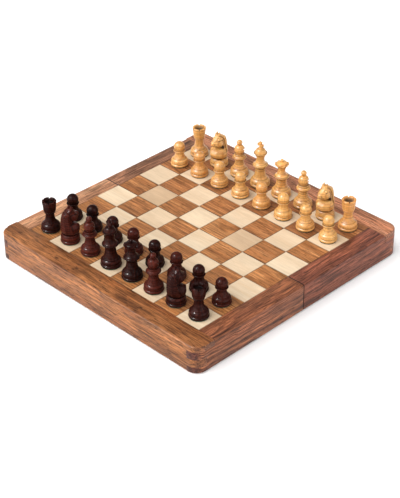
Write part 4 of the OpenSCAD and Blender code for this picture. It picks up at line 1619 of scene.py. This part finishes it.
@dataclass
class Knight(Man):
    """A knight: a carved horse, facing +Y, on a turned foot.

    The side and the corner outlines are (forward, up), the front one (aside, up) and the plan (aside,
    forward). The eye, jaw, nostril, mouth and throat are places (forward, up).
    """

    height: float = 43.0
    base_r: float = 10.6
    neck_r: float = 7.8
    horse_base: float = 10.6
    bell: float = 1.3
    ear_place: tuple[float, float, float] = (2.0, 1.3, -1.8)
    ear_radii: Point2 = (1.7, 0.35)
    ear_len: float = 4.4
    voxel: float = 0.32
    eye: Point2 = (4.6, 35.0)
    jaw: Point2 = (2.4, 30.2)
    nostril: Point2 = (10.2, 30.2)
    mouth: Point2 = (11.4, 28.0)
    throat: Point2 = (-0.4, 24.7)
    mane_w: float = 5.6
    lock_pitch: float = 2.9
    side: tuple[Point2, ...] = (
        (7.4, 10.6), (9, 12), (10.8, 13.8), (11.2, 16), (10.4, 18.4), (8, 20.8), (4, 22.6),
        (0.4, 23.4), (-1.2, 24.6), (0, 25.8), (3.4, 26.2), (7.2, 26.2), (9.8, 26.8), (11.4, 28.4),
        (11.7, 30.6), (10.6, 32.6), (8.4, 34.2), (6.2, 36), (4.8, 38), (3.8, 39.8), (3, 43),
        (1.2, 40.8), (-1.8, 39.8), (-5.8, 37.8), (-8.6, 34.8), (-9.7, 31), (-9.9, 26), (-9.6, 19),
        (-8.9, 14), (-7.4, 10.6),
    )
    front: tuple[Point2, ...] = (
        (7.4, 10.6), (9, 12.2), (10.1, 14.6), (10.1, 17.4), (9, 20.4), (7.4, 23.2), (6.3, 26.4),
        (5.8, 30), (5.2, 33.4), (4.5, 36.6), (3.8, 39.4), (2.8, 43), (1.7, 41.6), (0.5, 40),
    )
    corner: tuple[Point2, ...] = (
        (7.4, 10.6), (9.2, 12.4), (10.5, 14.8), (10.4, 17.6), (8.9, 20.4), (6.6, 22.6), (5.2, 24.6),
        (8.2, 26.2), (9.8, 27.8), (9.9, 30), (8.9, 32.2), (7.2, 34.2), (5.6, 36.4), (4.6, 39),
        (4.2, 43), (1.6, 42), (-1.6, 40.2), (-4.8, 38.2), (-7.1, 35.6), (-8.2, 32), (-8.8, 28.6),
        (-9.2, 24), (-9.6, 18), (-9, 14), (-7.4, 10.6),
    )
    plan: tuple[Point2, ...] = (
        (3, -10.2), (6.8, -8), (9.4, -4.4), (10.3, 0), (9.8, 3.8), (8.2, 6.8), (5.4, 9.2), (3.4, 11),
        (2.4, 12.2),
    )

    def outline(self) -> Outline:
        """Draws the turned foot under the horse."""
        line = self.foot.draw(self.base_r, self.bell)
        top = self.foot.bell_end(self.base_r, self.bell)[1]
        line.to(self.neck_r, top + 0.4, 1.0).to(self.neck_r, self.horse_base + 1, 1.0)
        return line.to(0, self.horse_base + 1)

    def rough_horse(self) -> bpy.types.Object:
        """The horse sawn out of its outlines from five directions, with its ears, then rounded over."""
        front, plan = (list(half) + [(-x, y) for x, y in reversed(half)] for half in (self.front, self.plan))
        obj = prism("horse", self.side, (1, 2, 0), -12, 12)
        others = [prism("horse_front", front, (0, 2, 1), -20, 20)]
        others.append(prism("horse_plan", plan, (0, 1, 2), 5, 45))
        for turn in (-45.0, 45.0):
            others.append(prism("horse_corner", self.corner, (1, 2, 0), -20, 20))
            others[-1].data.transform(Matrix.Rotation(math.radians(turn), 4, "Z"))
        for other in others:
            modify(obj, "BOOLEAN", operation="INTERSECT", object=other, solver="EXACT")
        settle(obj)
        discard(*others)
        shell = bmesh.new()
        shell.from_mesh(obj.data)
        aside, forward, up = self.ear_place
        for x in (-aside, aside):
            bmesh.ops.create_cone(
                shell, segments=16, radius1=self.ear_radii[0] * MM, radius2=self.ear_radii[1] * MM,
                depth=self.ear_len * MM, cap_ends=True,
                matrix=Matrix.Translation(Vector((x, forward, self.height + up)) * MM),
            )
        shell.to_mesh(obj.data)
        shell.free()
        modify(obj, "REMESH", mode="VOXEL", voxel_size=self.voxel * MM, adaptivity=0.0)
        modify(obj, "SMOOTH", factor=0.5, iterations=8)
        return settle(obj)

    def carve(self, mesh: bpy.types.Mesh) -> np.ndarray:
        """Cuts the mane, eyes, nostrils, mouth and jaw into the horse, and works out the painted shade in
        them.

        Args:
            mesh: The rough horse.

        Returns:
            How much painted shade each point gets, from 0 to 1: in the cuts, the mane's grooves, the throat
            and under the chest.
        """
        points, normals = coordinates(mesh) / MM, coordinates(mesh, "normal")
        x, y, z = points.T
        aside = np.abs(x)

        def off(place: Point2, rise: float = 1.0) -> np.ndarray:
            """How far each point is from a place, seen from the side."""
            return np.hypot(y - place[0], (z - place[1]) * rise)

        slim = 0.3 * fade(y, 4.5, 9.5) * fade(z, 24.5, 26)
        points[:, 0] = x * (1 - slim + 0.13 * bell_curve(off(self.jaw), 2.8))
        points[:, 1] += 0.7 * fade(y, 6, 10) * fade(z, 25.5, 27) * fade(z, 34, 32)
        points[:, 2] -= 0.7 * fade(y, -1, -4) * fade(z, 33, 37)
        backs, heights = zip(*self.side[-2:-9:-1])
        behind = y - np.interp(z, heights, backs)
        tall = fade(z, 14, 18) * fade(z, 41, 39.5)
        locks = 0.5 + 0.5 * np.cos(2 * math.pi * (z + behind * 1.1 + 0.6 * np.sin(behind)) / self.lock_pitch)
        in_mane = fade(behind, self.mane_w, self.mane_w - 1.2) * tall
        neck = fade(behind, self.mane_w, self.mane_w + 0.7) * tall * fade(z, 38.5, 36.5)
        neck = neck * fade(y, 4, 0) * fade(z, 16, 21)
        parting = bell_curve(behind - self.mane_w - 0.6, 0.7) * tall * (z < 39.5)
        eye = off(self.eye)
        lid = (0.3 * bell_curve(eye - 1.3, 0.5) - 0.3 * bell_curve(eye, 0.8)) * (aside > 1.2)
        mouth = z - self.mouth[1] - (y - self.mouth[0]) * 0.1
        mouth = 0.7 * bell_curve(mouth, 0.5) * fade(y, 7.4, 8.6)
        nostril = 0.6 * bell_curve(off(self.nostril), 0.75) * (aside > 0.6)
        jaw = 0.5 * bell_curve(off(self.jaw) - 4.1, 0.6) * (y < 5.5) * (z < 34) * (z > 25.4) * (aside > 1.5)
        ears = 0.5 * bell_curve(x, 0.7) * fade(z, 39.8, 40.8) * (y > -1.5)
        # Painted shade darkens the carved lines.
        lines = parting * 0.5 + lid + mouth + nostril + jaw + ears
        # Painted shade in the throat and under the chest.
        throat = bell_curve(off(self.throat, 1.2), 1.9)
        deep = np.maximum(throat, bell_curve(z - 24.9, 0.9) * fade(y, 0.5, 3.5))
        points -= normals * (lines + in_mane * locks**2 * 0.3 + neck * 0.55 + throat * 0.5)[:, None]
        mesh.vertices.foreach_set("co", (points * MM).ravel())
        mesh.update()
        return np.clip(np.clip(lines, 0, 1) * 1.4 + in_mane * locks**2 * 0.35 + deep * 1.2, 0, 1)

    def shape(self) -> bpy.types.Mesh:
        """The man's wood as a mesh, standing on the origin."""
        horse = self.rough_horse()
        # The horse stores its painted shade as its hollow.
        note(horse.data, "hollow", self.carve(horse.data))
        modify(horse, "SMOOTH", factor=0.4, iterations=1)
        settle(horse)
        mesh = super().shape()
        join(mesh, horse.data, 44.0)
        discard(horse)
        return mesh


class Side(Enum):
    """The two players' men."""

    DARK = "dark"
    LIGHT = "light"


@dataclass
class MenSet:
    """All 32 men on their squares."""

    board: Board
    foot: Foot = field(default_factory=Foot)
    files: str = "hgfedcba"
    officers: tuple[str, ...] = ("rook", "knight", "bishop", "king", "queen", "bishop", "knight", "rook")
    dark_tones: tuple[float, ...] = (0.15, 0.95, 1.0, 0.2, 0.0, 0.95, 0.25, 0.2)
    dark_pawn_tones: tuple[float, ...] = (0.1, 0.0, 0.15, 0.8, 0.05, 0.6, 0.2, 0.5)
    light_tones: tuple[float, ...] = (0.2, 0.1, 0.35, 0.0, 0.3, 0.2, 0.05, 0.9)
    light_pawn_tones: tuple[float, ...] = (0.35, 0.9, 0.4, 0.2, 0.75, 0.1, 0.25, 0.0)
    seed: int = 41

    def place(
        self, mesh: bpy.types.Mesh, name: str, at: Vector, rng: np.random.Generator,
        turn: float = 0.0, tone: float = 0.0,
    ) -> bpy.types.Object:
        """Copies a man's mesh onto its square and stores its own grain.

        Args:
            mesh: The man, standing on the origin.
            name: The new piece's name.
            at: Its square, in millimetres.
            rng: Gives each man its own piece of wood.
            turn: How far it is turned, in degrees.
            tone: How far its colour goes to the wood's second tone.

        Returns:
            The piece.
        """
        own = mesh.copy()
        x, y, z = coordinates(own).T
        angle = rng.uniform(0, 2 * math.pi)
        c, s = math.cos(angle), math.sin(angle)
        grain = np.stack([z, c * x - s * y, s * x + c * y], 1) / MM
        grain += np.array([rng.uniform(0, 400), rng.uniform(-4, 4), rng.uniform(-4, 4)])
        note(own, "grain", grain)
        note(own, "tone", np.full(len(x), tone))
        own.transform(Matrix.Translation(at * MM) @ Matrix.Rotation(math.radians(turn), 4, "Z"))
        return show(name, own)

    def build(self, finishes: Finishes) -> None:
        """Makes each kind of man once and stands all 32, each with its felt and its magnet."""
        kinds = {kind.__name__.lower(): kind() for kind in (Pawn, Rook, Knight, Bishop, Queen, King)}
        woods = {kind: man.shape() for kind, man in kinds.items()}
        felts = {kind: self.foot.felt(man.base_r) for kind, man in kinds.items()}
        magnet = self.foot.magnet()
        rng = np.random.default_rng(self.seed)
        rows = (
            (Side.DARK, 8, 0, self.officers, self.dark_tones),
            (Side.DARK, 7, 1, ("pawn",) * 8, self.dark_pawn_tones),
            (Side.LIGHT, 2, 6, ("pawn",) * 8, self.light_pawn_tones),
            (Side.LIGHT, 1, 7, self.officers, self.light_tones),
        )
        for side, number, rank, men, tones in rows:
            slot = f"{side.value}_man_wood"
            for file, (kind, tone) in enumerate(zip(men, tones)):
                node = f"{side.value}_{kind}_{self.files[file]}{number}"
                at = self.board.middle(file, rank)
                turn = 180.0 if kind == "knight" and side is Side.LIGHT else 0.0
                wood = self.place(woods[kind], f"{node}_turned", at, rng, turn, tone)
                dress(wood, finishes[slot], node, [node])
                felt = self.place(felts[kind], f"{node}_felt", at, rng)
                dress(felt, finishes["felt"], node)
                own_magnet = self.place(magnet, f"{node}_magnet", at, rng)
                dress(own_magnet, finishes["magnet_nickel"], node)
        for mesh in (*woods.values(), *felts.values(), magnet):
            bpy.data.meshes.remove(mesh)


# ---- Studio ----


@dataclass
class SoftLight:
    """One wide, soft light, far off in one direction from the object."""

    name: str
    azimuth: float
    elevation: float
    strength: float
    spread: float = 80.0
    shine_only: bool = False

    def build(self) -> None:
        """Turns the light to the object; its azimuth runs from the front to the right, in degrees."""
        data = bpy.data.lights.new(self.name, "SUN")
        data.energy, data.angle = self.strength, math.radians(self.spread)
        az, el = math.radians(self.azimuth), math.radians(self.elevation)
        towards = Vector((math.sin(az) * math.cos(el), -math.cos(az) * math.cos(el), math.sin(el)))
        light = bpy.data.objects.new(self.name, data)
        light.location = 2 * towards
        light.visible_diffuse = not self.shine_only
        light.rotation_euler = (-towards).to_track_quat("-Z", "Y").to_euler()
        bpy.context.scene.collection.objects.link(light)


@dataclass
class Studio:
    """Floor, lights and camera."""

    camera_place: tuple[float, float, float] = (0.946329, -0.934480, 0.889827)
    azimuth: float = 45.332
    elevation: float = 33.593
    roll: float = -0.4436
    lens: float = 107.006
    world_light: float = 0.45
    floor_half: float = 9.0
    floor_gap: float = 0.0001
    lights: tuple[SoftLight, ...] = (
        SoftLight("key", -20.0, 42.0, 4.0),
        SoftLight("fill", 95.0, 22.0, 1.3, spread=60.0),
        SoftLight("glint", -25.0, 48.0, 4.2, spread=14.0, shine_only=True),
    )

    def floor(self) -> None:
        """Lays the plain floor under the object."""
        shell = bmesh.new()
        bmesh.ops.create_grid(shell, x_segments=2, y_segments=2, size=self.floor_half)
        obj = show("studio_floor", as_mesh(shell, "studio_floor"))
        obj.location.z = -self.floor_gap
        obj.data.materials.append(FLOOR.material())

    def camera(self) -> None:
        """Sets up the camera at the photograph's place."""
        az, el, roll = (math.radians(a) for a in (self.azimuth, self.elevation, self.roll))
        back = Vector((math.sin(az) * math.cos(el), -math.cos(az) * math.cos(el), math.sin(el)))
        right = Vector((math.cos(az), math.sin(az), 0.0))
        across = math.cos(roll) * right + math.sin(roll) * back.cross(right)
        up = back.cross(across)
        data = bpy.data.cameras.new("camera")
        data.lens, data.sensor_width, data.sensor_fit = self.lens, 36.0, "AUTO"
        data.clip_start, data.clip_end = 0.05, 50.0
        data.dof.use_dof = False
        obj = bpy.data.objects.new("camera", data)
        turned = Matrix((across, up, back)).transposed().to_4x4()
        obj.matrix_world = Matrix.Translation(self.camera_place) @ turned
        bpy.context.scene.collection.objects.link(obj)
        bpy.context.scene.camera = obj

    def build(self) -> None:
        """Lays the floor, and sets up the world, the lights and the camera."""
        self.floor()
        world = bpy.data.worlds.new("studio")
        world.use_nodes = True
        background = world.node_tree.nodes["Background"]
        background.inputs["Color"].default_value = (1.0, 1.0, 1.0, 1.0)
        background.inputs["Strength"].default_value = self.world_light
        bpy.context.scene.world = world
        bpy.context.scene.view_settings.view_transform = "Standard"
        for light in self.lights:
            light.build()
        self.camera()


def make_finishes() -> Finishes:
    """All the materials by name."""
    looks = {
        "front_end_wood": FRONT_END_WOOD, "rear_end_wood": REAR_END_WOOD,
        "front_left_wood": FRONT_LEFT_WOOD, "front_right_wood": FRONT_RIGHT_WOOD,
        "rear_left_wood": REAR_LEFT_WOOD, "rear_right_wood": REAR_RIGHT_WOOD,
        "hinge_rail_wood": HINGE_RAIL_WOOD,
        "plywood": PLY_WOOD, "light_square_wood": LIGHT_SQUARE_WOOD, "dark_square_wood": DARK_SQUARE_WOOD,
        "light_man_wood": LIGHT_MAN_WOOD, "dark_man_wood": DARK_MAN_WOOD, "hinge_brass": BRASS,
        "magnet_nickel": NICKEL, "sheet_steel": SHEET_STEEL, "flocked_tray": FLOCK, "felt": FELT,
    }
    return {name: finish.material() for name, finish in looks.items()}


def main() -> None:
    """Builds the sub-assemblies in order."""
    logging.basicConfig(level=logging.INFO, format="%(message)s")
    board = Board()
    Studio().build()
    finishes = make_finishes()
    tiles = PlayingPanel.tile_tree()
    for half in Half:
        FrameRails(half, board).build(finishes)
        PlayingPanel(half, board).build(tiles, finishes)
        StorageTray(half).build(finishes)
        RimMagnets(half).build(finishes)
    Hinges(board).build(finishes)
    MenSet(board).build(finishes)


if __name__ == "__main__":
    main()
